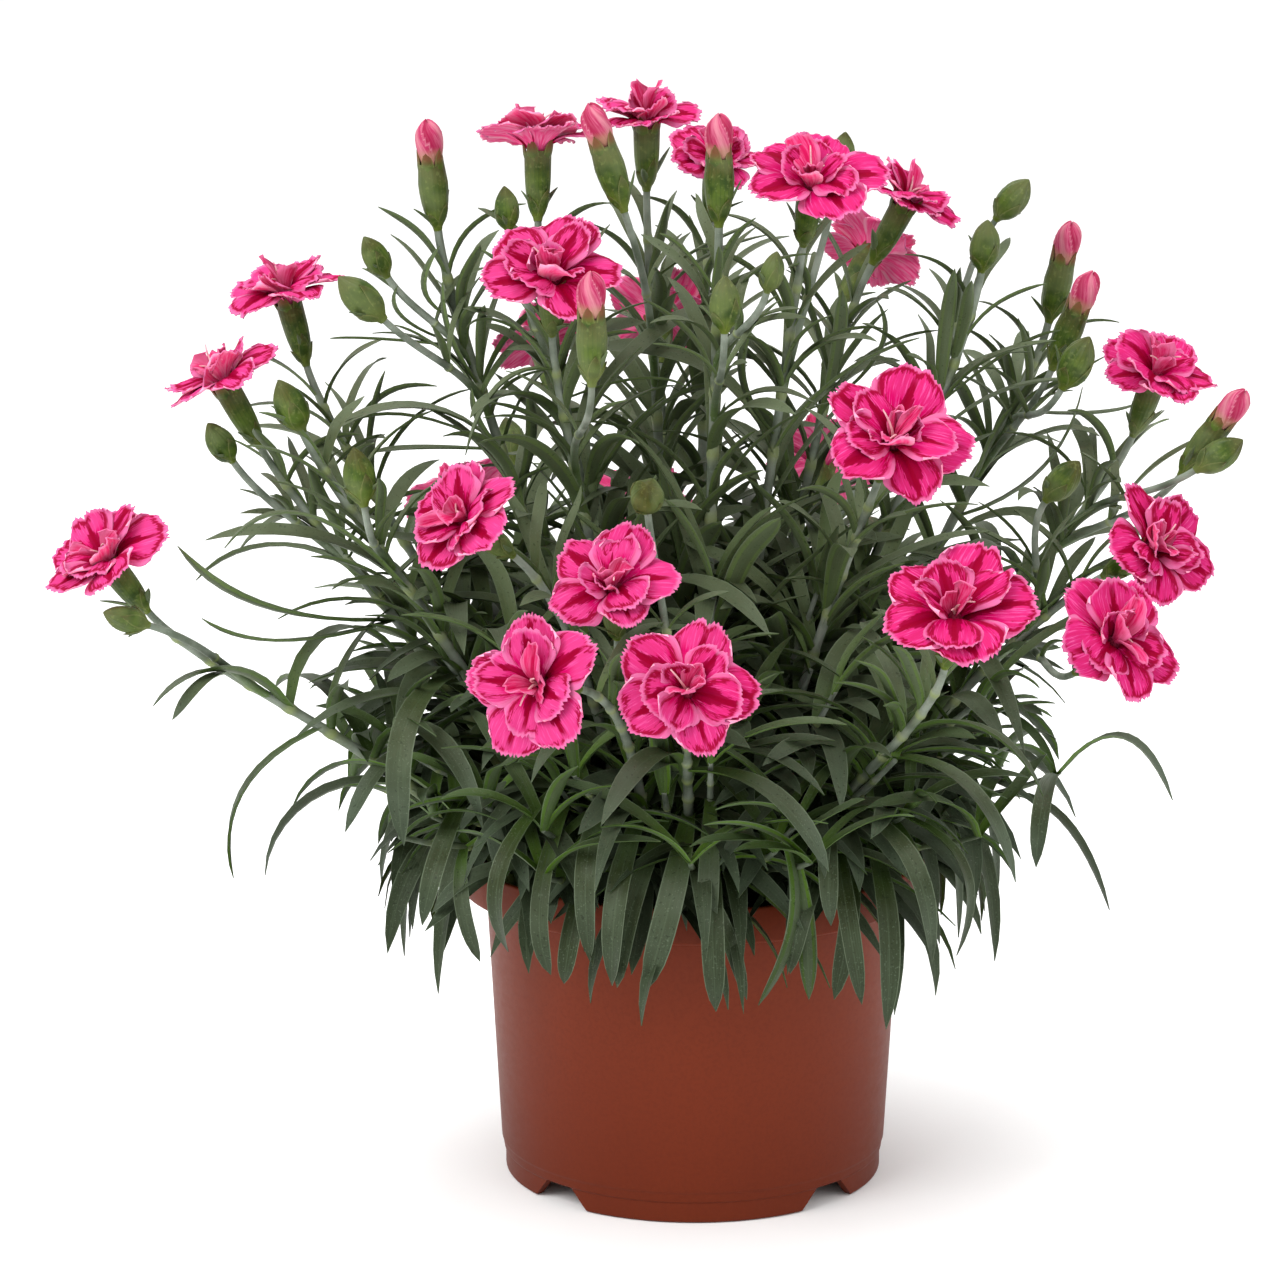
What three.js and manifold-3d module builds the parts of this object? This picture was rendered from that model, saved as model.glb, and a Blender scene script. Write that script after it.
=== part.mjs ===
// A dianthus in bloom, growing in a round plastic grower's pot.
// Millimetres, +Z up, the front towards -Y. The origin is on the ground, under the middle of the
// plant's spread. Every leafy stem stands in its own hole in the soil and carries its calyces and
// green buds. Each bloom, and the pink tip of each opening bud, sits loose in its calyx.
import * as THREE from "three";
import { mergeVertices } from "three/addons/utils/BufferGeometryUtils.js";
import Module from "manifold-3d";

const wasm = await Module();
wasm.setup();

// ---------------------------------------------------------------- driving dimensions

const clearance = 0.3; // between neighbouring pieces
const potAxis = [12, 0]; // the plant leans to the left, so its pot stands right of the middle

const pot = {
  sides: 24,
  height: 92,
  collarRadius: 65,
  collarHeight: 10,
  bodyTopRadius: 57.5,
  bodyBottomRadius: 53.4,
  wall: 1.6,
  lip: 0.7, // rounding of the collar's edges
  baseHeight: 6, // underside of the base plate, carried by the feet
  step: 0.8, // the body steps in above its feet
  stepHeight: 2.6,
  footRadius: 52.4,
  footWidth: 2.6,
  notches: 4, // gaps that part the foot ring into arcs
  notchHalfAngleAtGround: 11,
  notchHalfAngleAtBase: 5,
  drainHoles: 8,
  drainRadius: 4.5,
  drainRing: 38,
};

const soil = { sides: 16, top: 83 };

// A stalk's first bend is a share of the way to its head. Its last bend is a share of it too, up
// to a longest one.
const stemSides = 5;
const frameSteps = 20;
const mainStem = { foot: 1.7, neck: 1.3, firstBend: 0.42, longestLastBend: 32 };
const branchStem = { foot: 1.3, neck: 1.1, firstBend: 0.3, longestLastBend: 20 };
const lastBend = 0.35;
const outwardShare = 0.55; // how much of its way outwards a stem's first bend takes
const branchShares = [0.7, 0.62]; // how far up their stem the branches leave it, by turns
const rootDepth = 10; // how far a stem reaches into the soil
const stemHole = { foot: 3, mouth: 7 }; // from the middle of a square hole to its corners

// Crowded leaf bases make a slim core round the foot of each stem, which its lower leaves stand
// out of. It starts this far above the soil, and is widest and ends at shares of the stem.
const core = { start: 6, startWidth: 0.7, widestAt: 0.3, end: 0.5, slimmest: 2, widest: 10, growth: 1 };
const stemTop = 0.75; // the last ring below the head, as a share of the stem
const rootShare = 0.28; // a root's distance from the pot's axis, as a share of its head's

const calyx = {
  length: 17,
  base: 2,
  bulge: 3.7,
  bulgeAt: 0.4, // of the length
  mouth: 4.3,
  mouthDepth: 0.6,
  toothReach: 4.9,
  toothRise: 3,
};
const greenBud = { length: 14, base: 1.7, bulge: 4, bulgeAt: 0.38, shoulder: 3, shoulderAt: 0.72 };
const budTip = { bulge: 3.8, bulgeAt: 4.4, shoulder: 3.2, shoulderAt: 8.4, length: 11.5 };

// From the mouth of the calyx, or the foot of a green bud, to the middle of the head.
const seat = { bloom: 6, bud: 5, green: 7 };

const petalCount = 5; // in each whorl
const claw = { tip: 0.8, start: 0.5, neck: 3.2, tuft: 0.6 };
const outerWhorl = { teeth: 4, height: 4.6, rise: 3.5, size: 1, turn: 0, thickness: 0.9 };
const innerWhorl = { teeth: 2, height: 7, rise: 7.5, size: 0.66, turn: 36, thickness: 1.2 };

// Shares of the bloom's radius, then degrees, then millimetres.
const petal = { notch: 0.42, middle: 0.5, corner: 0.88, spread: 0.43, sway: 5, tilt: 2, ruffle: 1.3 };

const blade = { narrowest: 2.9, broadest: 3.6, keel: 1.3, twist: 30 };
const bladeStations = [
  [0, 0.25],
  [0.3, 1],
  [0.7, 0.85],
]; // [share of the length, share of the widest]
const leafClearance = 0.42;
const leafErect = 35; // how much higher the leaves of an upright stem in the middle stand
const leafTry = { limit: 9, turn: 14, rise: 2, lift: 4, shorter: 0.03 };

// ---------------------------------------------------------------- where the flowers stand

// A head is [kind, x, y, z, azimuth, elevation, radius]. The place is the middle of the bloom or
// bud, from the pot's axis. The azimuth it faces is turned from the front towards +X.
// The first head of a stem ends the stem itself, and the others end branches of it.
const stems = [
  [["bloom", -156, -60, 188, -45, 50, 19], ["green", -150, -68, 172, -70, 20, 3.4]],
  [["bloom", -128, -20, 229, -80, 62, 17.5], ["green", -127, -30, 212, -50, 55, 3.6]],
  [["bloom", -112, 10, 248, -70, 75, 18]],
  [["green", -107, -40, 223, -60, 65, 4.2], ["green", -88, -60, 208, -60, 80, 4.2]],
  [
    ["bud", -71, -10, 288, -60, 84],
    ["green", -88, -38, 251, -80, 45, 4.4],
    ["green", -86, -16, 260, -70, 60, 3.4],
  ],
  [["bloom", -38, -50, 261, 0, 55, 20], ["bud", -27, -92, 260, 0, 82]],
  [["bloom", -42, -10, 292, 180, 78, 19], ["green", -50, -34, 276, -60, 84, 3.2]],
  [["bloom", -13, 12, 296, 0, 80, 15.5], ["bud", -26, -38, 296, -80, 72]],
  [["bloom", 7, 42, 280, 10, 62, 15]],
  [
    ["bud", 6, -30, 292, 0, 88],
    ["green", 7, -62, 254, 0, 82, 4],
    ["green", 20, -50, 262, 60, 75, 3],
  ],
  [["bloom", 31, -22, 282, 10, 60, 20], ["green", 40, 10, 284, 60, 80, 3.4]],
  [["bloom", 60, 22, 272, 75, 62, 16], ["bloom", 52, 72, 249, 150, 35, 17]],
  [["green", 79, 12, 258, 20, 75, 4], ["green", 88, 30, 268, 60, 50, 4]],
  [
    ["bud", 104, 44, 253, 50, 76],
    ["bud", 107, 20, 243, 70, 68],
    ["green", 103, -4, 228, 60, 62, 4.4],
  ],
  [
    ["bloom", 127, 10, 225, 30, 62, 18.5],
    ["bud", 144, -14, 217, 70, 55],
    ["green", 141, -20, 206, 80, 35, 4],
  ],
  [["bloom", 51, -70, 221, 10, 40, 21]],
  [["bloom", 65, -100, 182, 5, 52, 21.5]],
  [
    ["bloom", 125, -28, 183, 42, 30, 19.5],
    ["bloom", 110, -72, 168, 30, 35, 20.5],
    ["green", 99, -20, 199, 60, 50, 4],
  ],
  [["bloom", -62, -80, 202, -45, 35, 17.5]],
  [["bloom", -42, -125, 168, -30, 15, 19.5], ["bloom", -22, -97, 189, -5, 52, 18]],
  [["bloom", -3, -124, 167, 0, 32, 18.5], ["green", -13, -86, 208, 0, 30, 4.2]],
  [["bloom", -9, 72, 230, 180, 30, 17], ["bloom", -44, 62, 225, -160, 40, 16]],
  [["bloom", -68, 100, 170, -145, 35, 19], ["green", -52, 84, 190, -150, 60, 4]],
  [["bloom", -14, 128, 160, 178, 25, 20]],
  [["bloom", 40, 112, 180, 165, 40, 20], ["green", 58, 96, 196, 140, 60, 4]],
  [["bloom", 78, 86, 142, 130, 20, 19]],
];

// Leaves along a stem: how far up it they sit, and how they are set there.
// [share of the stem, turn from outwards, shortest, longest, lowest end, highest end]
const leafPlaces = [
  [0.1, 72, 62, 86, -88, -50],
  [0.18, -66, 62, 86, -88, -50],
  [0.26, 5, 58, 82, -85, -40],
  [0.4, 95, 54, 78, -75, -20],
  [0.4, -85, 54, 78, -75, -20],
  [0.58, 10, 44, 66, -65, -10],
];

// ---------------------------------------------------------------- helpers

const vec = (x, y, z) => new THREE.Vector3(x, y, z);
const upright = vec(0, 0, 1);
const rad = THREE.MathUtils.degToRad;

// A repeatable number from 0 to 1 for a set of whole-number keys.
function draw(...keys) {
  let hash = 2166136261;
  for (const key of keys) {
    hash = Math.imul(hash ^ key, 16777619);
    hash ^= hash >>> 13;
    hash = Math.imul(hash, 0x5bd1e995);
    hash ^= hash >>> 15;
  }
  return (hash >>> 0) / 4294967296;
}

const between = (low, high, ...keys) => low + (high - low) * draw(...keys);

// A unit vector: azimuth from the front (-Y) towards +X, elevation above the level.
function direction(azimuth, elevation) {
  const flat = Math.cos(rad(elevation));
  return vec(Math.sin(rad(azimuth)) * flat, -Math.cos(rad(azimuth)) * flat, Math.sin(rad(elevation)));
}

function solidOf(geometry) {
  geometry.deleteAttribute("normal");
  geometry.deleteAttribute("uv");
  const merged = mergeVertices(geometry, 1e-4);
  return new wasm.Manifold(
    new wasm.Mesh({
      numProp: 3,
      vertProperties: merged.attributes.position.array,
      triVerts: new Uint32Array(merged.index.array),
    }),
  );
}

function geometryOf(points, faces) {
  return new THREE.BufferGeometry().setFromPoints(points).setIndex(faces.flat());
}

// A closed skin over rings of points that run counter-clockwise as seen from the last ring.
// The last ring may be a single point. A ring of twice the points continues one of half as many.
function loft(rings) {
  const faces = [];
  const starts = rings.map((_, k) => rings.slice(0, k).flat().length);
  for (let i = 1; i < rings[0].length - 1; i++) faces.push([0, i + 1, i]);
  for (let k = 0; k + 1 < rings.length; k++) {
    const count = rings[k].length;
    const next = rings[k + 1].length;
    for (let i = 0; i < count; i++) {
      const a = starts[k] + i;
      const b = starts[k] + ((i + 1) % count);
      if (next === 1) {
        faces.push([a, b, starts[k + 1]]);
      } else if (next === 2 * count) {
        const c = starts[k + 1] + 2 * i;
        const e = starts[k + 1] + ((2 * i + 2) % next);
        faces.push([a, c + 1, c], [a, b, c + 1], [b, e, c + 1]);
      } else {
        const c = starts[k + 1] + i;
        const e = starts[k + 1] + ((i + 1) % next);
        faces.push([a, b, e], [a, e, c]);
      }
    }
  }
  const last = rings[rings.length - 1].length;
  const first = starts[rings.length - 1];
  for (let i = 1; i < last - 1; i++) faces.push([first, first + i, first + i + 1]);
  return geometryOf(rings.flat(), faces);
}

// A ring of points round the axis. Every other one may differ, as the teeth of a calyx do.
function ring(count, radius, height, otherRadius = radius, otherHeight = height) {
  return Array.from({ length: count }, (_, i) => {
    const angle = (2 * Math.PI * i) / count;
    const r = i % 2 ? otherRadius : radius;
    return vec(r * Math.cos(angle), r * Math.sin(angle), i % 2 ? otherHeight : height);
  });
}

// Stands a shape that was built upright on a place, with its axis along the way it faces.
function stand(geometry, place, axis) {
  geometry.applyQuaternion(new THREE.Quaternion().setFromUnitVectors(upright, axis));
  geometry.translate(place.x, place.y, place.z);
  return geometry;
}

// ---------------------------------------------------------------- pot and soil

const ledge = pot.height - pot.collarHeight;

// The inside radius of the pot's tapering body.
function insideRadius(height) {
  const { baseHeight, bodyBottomRadius, bodyTopRadius, wall } = pot;
  return THREE.MathUtils.mapLinear(height, baseHeight, ledge, bodyBottomRadius, bodyTopRadius) - wall;
}

function turned(profile, sides) {
  const points = profile.map(([radius, height]) => new THREE.Vector2(radius, height));
  return solidOf(new THREE.LatheGeometry(points, sides).rotateX(Math.PI / 2));
}

function potSolid() {
  const collarInside = pot.collarRadius - pot.wall;
  const floor = pot.baseHeight + pot.wall;
  const body = turned(
    [
      [0, pot.baseHeight],
      [pot.bodyBottomRadius - pot.step, pot.baseHeight],
      [pot.bodyBottomRadius, pot.baseHeight + pot.stepHeight],
      [pot.bodyTopRadius, ledge],
      [pot.collarRadius - pot.lip, ledge],
      [pot.collarRadius, ledge + pot.lip],
      [pot.collarRadius, pot.height - pot.lip],
      [pot.collarRadius - pot.lip, pot.height],
      [collarInside, pot.height],
      [collarInside, ledge + pot.wall],
      [insideRadius(ledge), ledge + pot.wall],
      [insideRadius(floor), floor],
      [0, floor],
    ],
    pot.sides,
  );
  const footInside = pot.footRadius - pot.footWidth;
  const sunk = pot.baseHeight + 0.5 * pot.wall;
  let feet = turned(
    [
      [footInside, 0],
      [pot.footRadius, 0],
      [pot.footRadius, sunk],
      [footInside, sunk],
      [footInside, 0],
    ],
    pot.sides,
  );
  for (let i = 0; i < pot.notches; i++) feet = feet.subtract(notchCutter((i + 0.5) / pot.notches));
  let made = body.add(feet);
  for (let i = 0; i < pot.drainHoles; i++) made = made.subtract(drainCutter(i / pot.drainHoles));
  return made;
}

// A gap with slanted ends, wider at the ground, cut outwards through the foot ring.
function notchCutter(share) {
  const low = pot.footRadius * Math.sin(rad(pot.notchHalfAngleAtGround));
  const high = pot.footRadius * Math.sin(rad(pot.notchHalfAngleAtBase));
  const slope = (low - high) / pot.baseHeight;
  const gap = new THREE.Shape([
    new THREE.Vector2(-low - slope, -1),
    new THREE.Vector2(low + slope, -1),
    new THREE.Vector2(high, pot.baseHeight),
    new THREE.Vector2(-high, pot.baseHeight),
  ]);
  const cutter = new THREE.ExtrudeGeometry(gap, { depth: 3 * pot.footWidth, bevelEnabled: false });
  cutter.translate(0, 0, pot.footRadius - 2 * pot.footWidth);
  cutter.rotateX(Math.PI / 2);
  cutter.rotateZ(2 * Math.PI * share);
  return solidOf(cutter);
}

function drainCutter(share) {
  const hole = new THREE.CylinderGeometry(pot.drainRadius, pot.drainRadius, 3 * pot.wall, 8);
  hole.rotateX(Math.PI / 2);
  hole.translate(pot.drainRing, 0, pot.baseHeight + 0.5 * pot.wall);
  hole.rotateZ(2 * Math.PI * share);
  return solidOf(hole);
}

// The peat plug fills the body of the pot up to its collar.
function soilSolid() {
  const floor = pot.baseHeight + pot.wall + clearance;
  const radius = (height) => insideRadius(height) - 2 * clearance;
  return turned(
    [
      [0, floor],
      [radius(floor), floor],
      [radius(soil.top), soil.top],
      [0, soil.top],
    ],
    soil.sides,
  );
}

// ---------------------------------------------------------------- stems

// The point where a head's calyx or bud joins its stalk.
function headBase([kind, x, y, z, azimuth, elevation]) {
  const back = seat[kind] + (kind === "green" ? 0 : calyx.length);
  return vec(x, y, z).addScaledVector(direction(azimuth, elevation), -back);
}

const headAxis = ([, , , , azimuth, elevation]) => direction(azimuth, elevation);

// A stalk sets out from a place in one direction and ends in its head, facing as the head does.
function stalkCurve(from, setOut, head, { firstBend, longestLastBend }) {
  const end = headBase(head);
  const reach = end.distanceTo(from);
  return new THREE.CubicBezierCurve3(
    from,
    from.clone().addScaledVector(setOut, firstBend * reach),
    end.clone().addScaledVector(headAxis(head), -Math.min(lastBend * reach, longestLastBend)),
    end,
  );
}

// A stem rises from its root more steeply than the straight way to its head.
function mainCurve(head) {
  const end = headBase(head);
  const root = vec(end.x * rootShare, end.y * rootShare, soil.top - rootDepth);
  const way = end.sub(root);
  const rise = vec(outwardShare * way.x, outwardShare * way.y, way.z).normalize();
  return stalkCurve(root, rise, head, mainStem);
}

// A branch sets out along its stem and turns away to its own head.
function branchCurve(main, head, turn) {
  const share = branchShares[turn % branchShares.length];
  return stalkCurve(main.getPoint(share), main.getTangent(share), head, branchStem);
}

function headRings([kind, , , , , , radius]) {
  if (kind === "green") {
    const size = radius / greenBud.bulge;
    const length = greenBud.length * size;
    return [
      ring(5, greenBud.base, 0),
      ring(5, radius, greenBud.bulgeAt * length),
      ring(5, greenBud.shoulder * size, greenBud.shoulderAt * length),
      [vec(0, 0, length)],
    ];
  }
  return [
    ring(5, calyx.base, 0),
    ring(5, calyx.bulge, calyx.bulgeAt * calyx.length),
    ring(10, calyx.mouth, calyx.length, calyx.toothReach, calyx.length + calyx.toothRise),
    [vec(0, 0, calyx.length - calyx.mouthDepth)],
  ];
}

// A stalk along its curve and the head on its end, as one skin. Each girth is a share of the curve
// and the radius there. The rings round the stalk start from the same side as the head's own, so
// that the skin doesn't twist between them.
function stalkSolid(curve, head, girths) {
  const turn = new THREE.Quaternion().setFromUnitVectors(upright, headAxis(head));
  const { normals, binormals } = curve.computeFrenetFrames(frameSteps);
  const headSide = vec(1, 0, 0).applyQuaternion(turn);
  const startAngle = Math.atan2(headSide.dot(binormals[frameSteps]), headSide.dot(normals[frameSteps]));
  const stalk = girths.map(([share, radius]) => {
    const normal = normals[Math.round(share * frameSteps)];
    return ring(stemSides, radius, 0).map(({ x, y }) => {
      const angle = startAngle + Math.atan2(y, x);
      const across = normal.clone().applyAxisAngle(curve.getTangentAt(share), angle);
      return curve.getPointAt(share).addScaledVector(across, radius);
    });
  });
  const place = headBase(head);
  const onEnd = headRings(head).map((points) => points.map((p) => p.applyQuaternion(turn).add(place)));
  return solidOf(loft([...stalk, ...onEnd]));
}

const join = (solids) => solids.reduce((sum, solid) => sum.add(solid));

const coreStart = (main) => (rootDepth + core.start) / main.getLength();

// A stem with its branches, their calyces and green buds, and a core of the given radius.
function bareStem([first, ...others], main, width) {
  const { foot, neck } = mainStem;
  const girths = [
    [0, foot],
    [coreStart(main), Math.max(foot, core.startWidth * width)],
    [core.widestAt, width],
    [core.end, foot],
    [stemTop, neck],
  ];
  const branches = others.map((head, i) => {
    const curve = branchCurve(main, head, i + 1);
    return stalkSolid(curve, head, [
      [0, branchStem.foot],
      [0.5, branchStem.neck],
    ]);
  });
  return join([stalkSolid(main, first, girths), ...branches]);
}

// ---------------------------------------------------------------- leaves

// The line of a leaf, drawn for its stem and its place there. Leaves of the upright stems in the
// middle stand higher. Each try turns the leaf further to one side or the other, lifts it and
// shortens it, until it is clear of its neighbours.
function leafCurve(stem, place, attempt, main) {
  const [share, turn, shortest, longest, lowest, highest] = leafPlaces[place];
  const aside = (attempt % 2 ? 1 : -1) * leafTry.turn * Math.ceil(attempt / 2);
  const base = main.getPoint(share);
  const end = main.getPoint(1);
  const outwards = THREE.MathUtils.radToDeg(Math.atan2(end.x, -end.y));
  const azimuth = outwards + turn + between(-18, 18, stem, place, 1) + aside;
  const erect = leafErect * Math.max(0, 1 - Math.hypot(end.x, end.y) / (end.z - soil.top));
  const start = between(42, 60, stem, place, 2) + 0.4 * erect + leafTry.rise * attempt;
  const finish = between(lowest, highest, stem, place, 3) + erect + leafTry.lift * attempt;
  const curl = between(-35, 35, stem, place, 4);
  const length = between(shortest, longest, stem, place, 5) * (1 - leafTry.shorter * attempt);
  return arc(base, direction(azimuth, start), direction(azimuth + curl, finish), length);
}

// A curve that bends evenly from its first direction to its last, close to an arc of a circle.
function arc(base, first, last, length) {
  const bend = first.angleTo(last);
  const handle = ((4 / 3) * Math.tan(bend / 4) * length) / bend;
  const chord = (length * Math.sin(bend / 2)) / (bend / 2);
  const tip = base.clone().addScaledVector(first.clone().add(last).normalize(), chord);
  return new THREE.CubicBezierCurve3(
    base,
    base.clone().addScaledVector(first, handle),
    tip.clone().addScaledVector(last, -handle),
    tip,
  );
}

// A blade with a flat top and a keel below. `more` thickens it all round.
function leafSolid(curve, stem, place, more = 0) {
  const twist = rad(between(-blade.twist, blade.twist, stem, place, 6));
  const widest = between(blade.narrowest, blade.broadest, stem, place, 7);
  const rings = bladeStations.map(([share, width]) => {
    const along = curve.getTangent(share);
    const level = along.clone().cross(upright).normalize();
    const side = level.applyAxisAngle(along, twist * share);
    const above = side.clone().cross(along);
    const top = curve.getPoint(share).addScaledVector(above, more);
    return [
      top.clone().addScaledVector(side, widest * width + more),
      top.clone().addScaledVector(above, -blade.keel - 2.5 * more),
      top.clone().addScaledVector(side, -widest * width - more),
    ];
  });
  const tip = curve.getPoint(1).addScaledVector(curve.getTangent(1), 1.5 * more);
  return solidOf(loft([...rings, [tip]]));
}

// ---------------------------------------------------------------- blooms

// Adds the points of one whorl of petals, ruffled and toothed at the rim and parted down to a
// notch, and gives the numbers of each petal's points. The hearts stand in a ring round the axis.
function addPetals(points, whorl, radius, key) {
  const span = 360 / petalCount;
  const number = (point) => points.push(point) - 1;
  const at = (angle, share, lift) => {
    const r = radius * whorl.size * share;
    const z = whorl.height + whorl.rise * share * share + lift;
    return number(vec(r * Math.cos(rad(angle)), r * Math.sin(rad(angle)), z));
  };
  return Array.from({ length: petalCount }, (_, k) => {
    const centre = span * k + whorl.turn;
    const leant = centre + between(-petal.sway, petal.sway, key, k, 1);
    const tilt = between(-petal.tilt, petal.tilt, key, k, 2);
    const heartAngle = rad(centre + 0.5 * span);
    return {
      heart: number(vec(claw.neck * Math.cos(heartAngle), claw.neck * Math.sin(heartAngle), whorl.height)),
      notch: at(centre + 0.5 * span, petal.notch, -0.5),
      middle: at(leant, petal.middle, between(-0.5, 1, key, k, 3)),
      rim: Array.from({ length: whorl.teeth }, (_, i) => {
        const side = (2 * i) / (whorl.teeth - 1) - 1;
        const share = (Math.abs(side) === 1 ? petal.corner : 1) - between(0, 0.06, key, k, 10 + i);
        const lift = tilt * side + between(-petal.ruffle, petal.ruffle, key, k, 20 + i);
        return at(leant + side * petal.spread * span, share, lift);
      }),
    };
  });
}

// A whorl's upper face, its lower face `under` points later, and the thin edge between them.
// Both faces are split into the same triangles, so the petals keep their thickness.
function whorlFaces(petals, under) {
  const faces = [];
  petals.forEach(({ heart, notch, middle, rim }, k) => {
    const before = petals[(k + petals.length - 1) % petals.length];
    const outline = [before.notch, ...rim, notch];
    const sheet = [
      [before.heart, before.notch, middle],
      [before.heart, middle, heart],
      [heart, middle, notch],
    ];
    for (let i = 0; i + 1 < outline.length; i++) {
      const a = outline[i];
      const b = outline[i + 1];
      sheet.push([middle, a, b]);
      faces.push([a, a + under, b + under], [a, b + under, b]);
    }
    for (const [a, b, c] of sheet) faces.push([a, b, c], [a + under, c + under, b + under]);
  });
  return faces;
}

// Joins two rings of numbered points, the second of them half a step further round.
function band(low, high) {
  return low.flatMap((a, i) => {
    const b = low[(i + 1) % low.length];
    return [
      [a, b, high[i]],
      [high[i], b, high[(i + 1) % high.length]],
    ];
  });
}

// A bloom is one closed skin: the claws of its petals, narrowing into the calyx, then the outer
// whorl, the inner whorl, and the tuft of small upright petals in the middle.
function bloomSolid(head, key) {
  const radius = head[6];
  const points = ring(petalCount, claw.tip, claw.start);
  let top = points.map((_, i) => i);
  const faces = top.slice(2).map((a) => [0, a, a - 1]);
  for (const whorl of [outerWhorl, innerWhorl]) {
    const first = points.length;
    const petals = addPetals(points, whorl, radius, key);
    const under = points.length - first;
    points.push(...points.slice(first).map((p) => p.clone().setZ(p.z - whorl.thickness)));
    const hearts = petals.map(({ heart }) => heart);
    faces.push(...band(top, hearts.map((heart) => heart + under)), ...whorlFaces(petals, under));
    top = hearts;
  }
  points.push(vec(0.5, 0.3, claw.tuft * radius));
  top.forEach((a, i) => faces.push([a, top[(i + 1) % top.length], points.length - 1]));
  const mouth = headBase(head).addScaledVector(headAxis(head), calyx.length);
  return solidOf(stand(geometryOf(points, faces), mouth, headAxis(head)));
}

// The rolled petals that push out of an opening bud.
function budTipSolid(head) {
  const mouth = headBase(head).addScaledVector(headAxis(head), calyx.length);
  const tip = loft([
    ring(5, claw.tip, claw.start),
    ring(5, budTip.bulge, budTip.bulgeAt),
    ring(5, budTip.shoulder, budTip.shoulderAt),
    [vec(0, 0, budTip.length)],
  ]);
  return solidOf(stand(tip, mouth, headAxis(head)));
}

// ---------------------------------------------------------------- growing the plant

const pieces = []; // the pink pieces: [name, solid, colour]
let blooms = 0;
let tips = 0;
const twoDigits = (n) => String(n).padStart(2, "0");
stems.flat().forEach((head) => {
  if (head[0] === "bloom") {
    blooms += 1;
    pieces.push(["bloom_" + twoDigits(blooms), bloomSolid(head, blooms), 0xe8286f]);
  }
  if (head[0] === "bud") {
    tips += 1;
    pieces.push(["bud_tip_" + twoDigits(tips), budTipSolid(head), 0xe87890]);
  }
});

// Each stem's hole runs along the stem's first stretch and widens with it towards the surface.
function holeCutter(main) {
  const foot = main.getPoint(0);
  const way = main.getPointAt(coreStart(main)).sub(foot).normalize();
  const start = foot.clone().addScaledVector(way, -2 * clearance);
  const depth = 2 * rootDepth;
  const cutter = new THREE.CylinderGeometry(stemHole.mouth, stemHole.foot, depth, 4);
  cutter.rotateX(Math.PI / 2);
  cutter.translate(0, 0, 0.5 * depth);
  return solidOf(stand(cutter, start, way));
}

const mains = stems.map(([first]) => mainCurve(first));
const potPiece = potSolid();
const soilPiece = mains.reduce((plug, main) => plug.subtract(holeCutter(main)), soilSolid());

// What is placed so far, to keep each new leaf and core clear of the pieces of other owners.
const placed = (owner, solid) => {
  const { min, max } = solid.boundingBox();
  return { owner, solid, box: new THREE.Box3(vec(...min), vec(...max)) };
};
const occupied = [
  ...stems.map((heads, i) => placed(i, bareStem(heads, mains[i], core.slimmest))),
  placed("pot", potPiece),
  placed("soil", soilPiece),
  ...pieces.map(([name, solid]) => placed(name, solid)),
];

function isClear(owner, solid) {
  const { box } = placed(owner, solid);
  const near = occupied.filter((other) => other.owner !== owner && box.intersectsBox(other.box));
  return near.every((other) => solid.intersect(other.solid).isEmpty());
}

// The cores widen by turns, each as far as its neighbours and the pot leave it room.
for (let width = core.slimmest + core.growth; width <= core.widest; width += core.growth) {
  stems.forEach((heads, i) => {
    if (isClear(i, bareStem(heads, mains[i], width + leafClearance))) {
      occupied[i] = placed(i, bareStem(heads, mains[i], width));
    }
  });
}

const leafy = stems.map((_, i) => [occupied[i].solid]);
leafPlaces.forEach((_, place) => {
  mains.forEach((main, i) => {
    for (let attempt = 0; attempt < leafTry.limit; attempt++) {
      const curve = leafCurve(i, place, attempt, main);
      if (isClear(i, leafSolid(curve, i, place, leafClearance))) {
        const leaf = leafSolid(curve, i, place);
        leafy[i].push(leaf);
        occupied.push(placed(i, leaf));
        break;
      }
    }
  });
});

// ---------------------------------------------------------------- the assembly

const part = new THREE.Group();
part.position.set(potAxis[0], potAxis[1], 0);

function addMesh(name, solid, colour, roughness) {
  const made = solid.getMesh();
  const geometry = new THREE.BufferGeometry();
  geometry.setAttribute("position", new THREE.BufferAttribute(made.vertProperties, made.numProp));
  geometry.setIndex(new THREE.BufferAttribute(made.triVerts, 1));
  geometry.computeVertexNormals();
  const material = new THREE.MeshStandardMaterial({ color: colour, roughness, metalness: 0 });
  const mesh = new THREE.Mesh(geometry, material);
  mesh.name = name;
  part.add(mesh);
}

addMesh("pot", potPiece, 0x8a4632, 0.45);
addMesh("soil", soilPiece, 0x3a2a1e, 0.95);
leafy.forEach((solids, i) => addMesh("leafy_stem_" + twoDigits(i + 1), join(solids), 0x4f6a4c, 0.6));
pieces.forEach(([name, solid, colour]) => addMesh(name, solid, colour, 0.55));

export default part;
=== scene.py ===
import math

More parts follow.
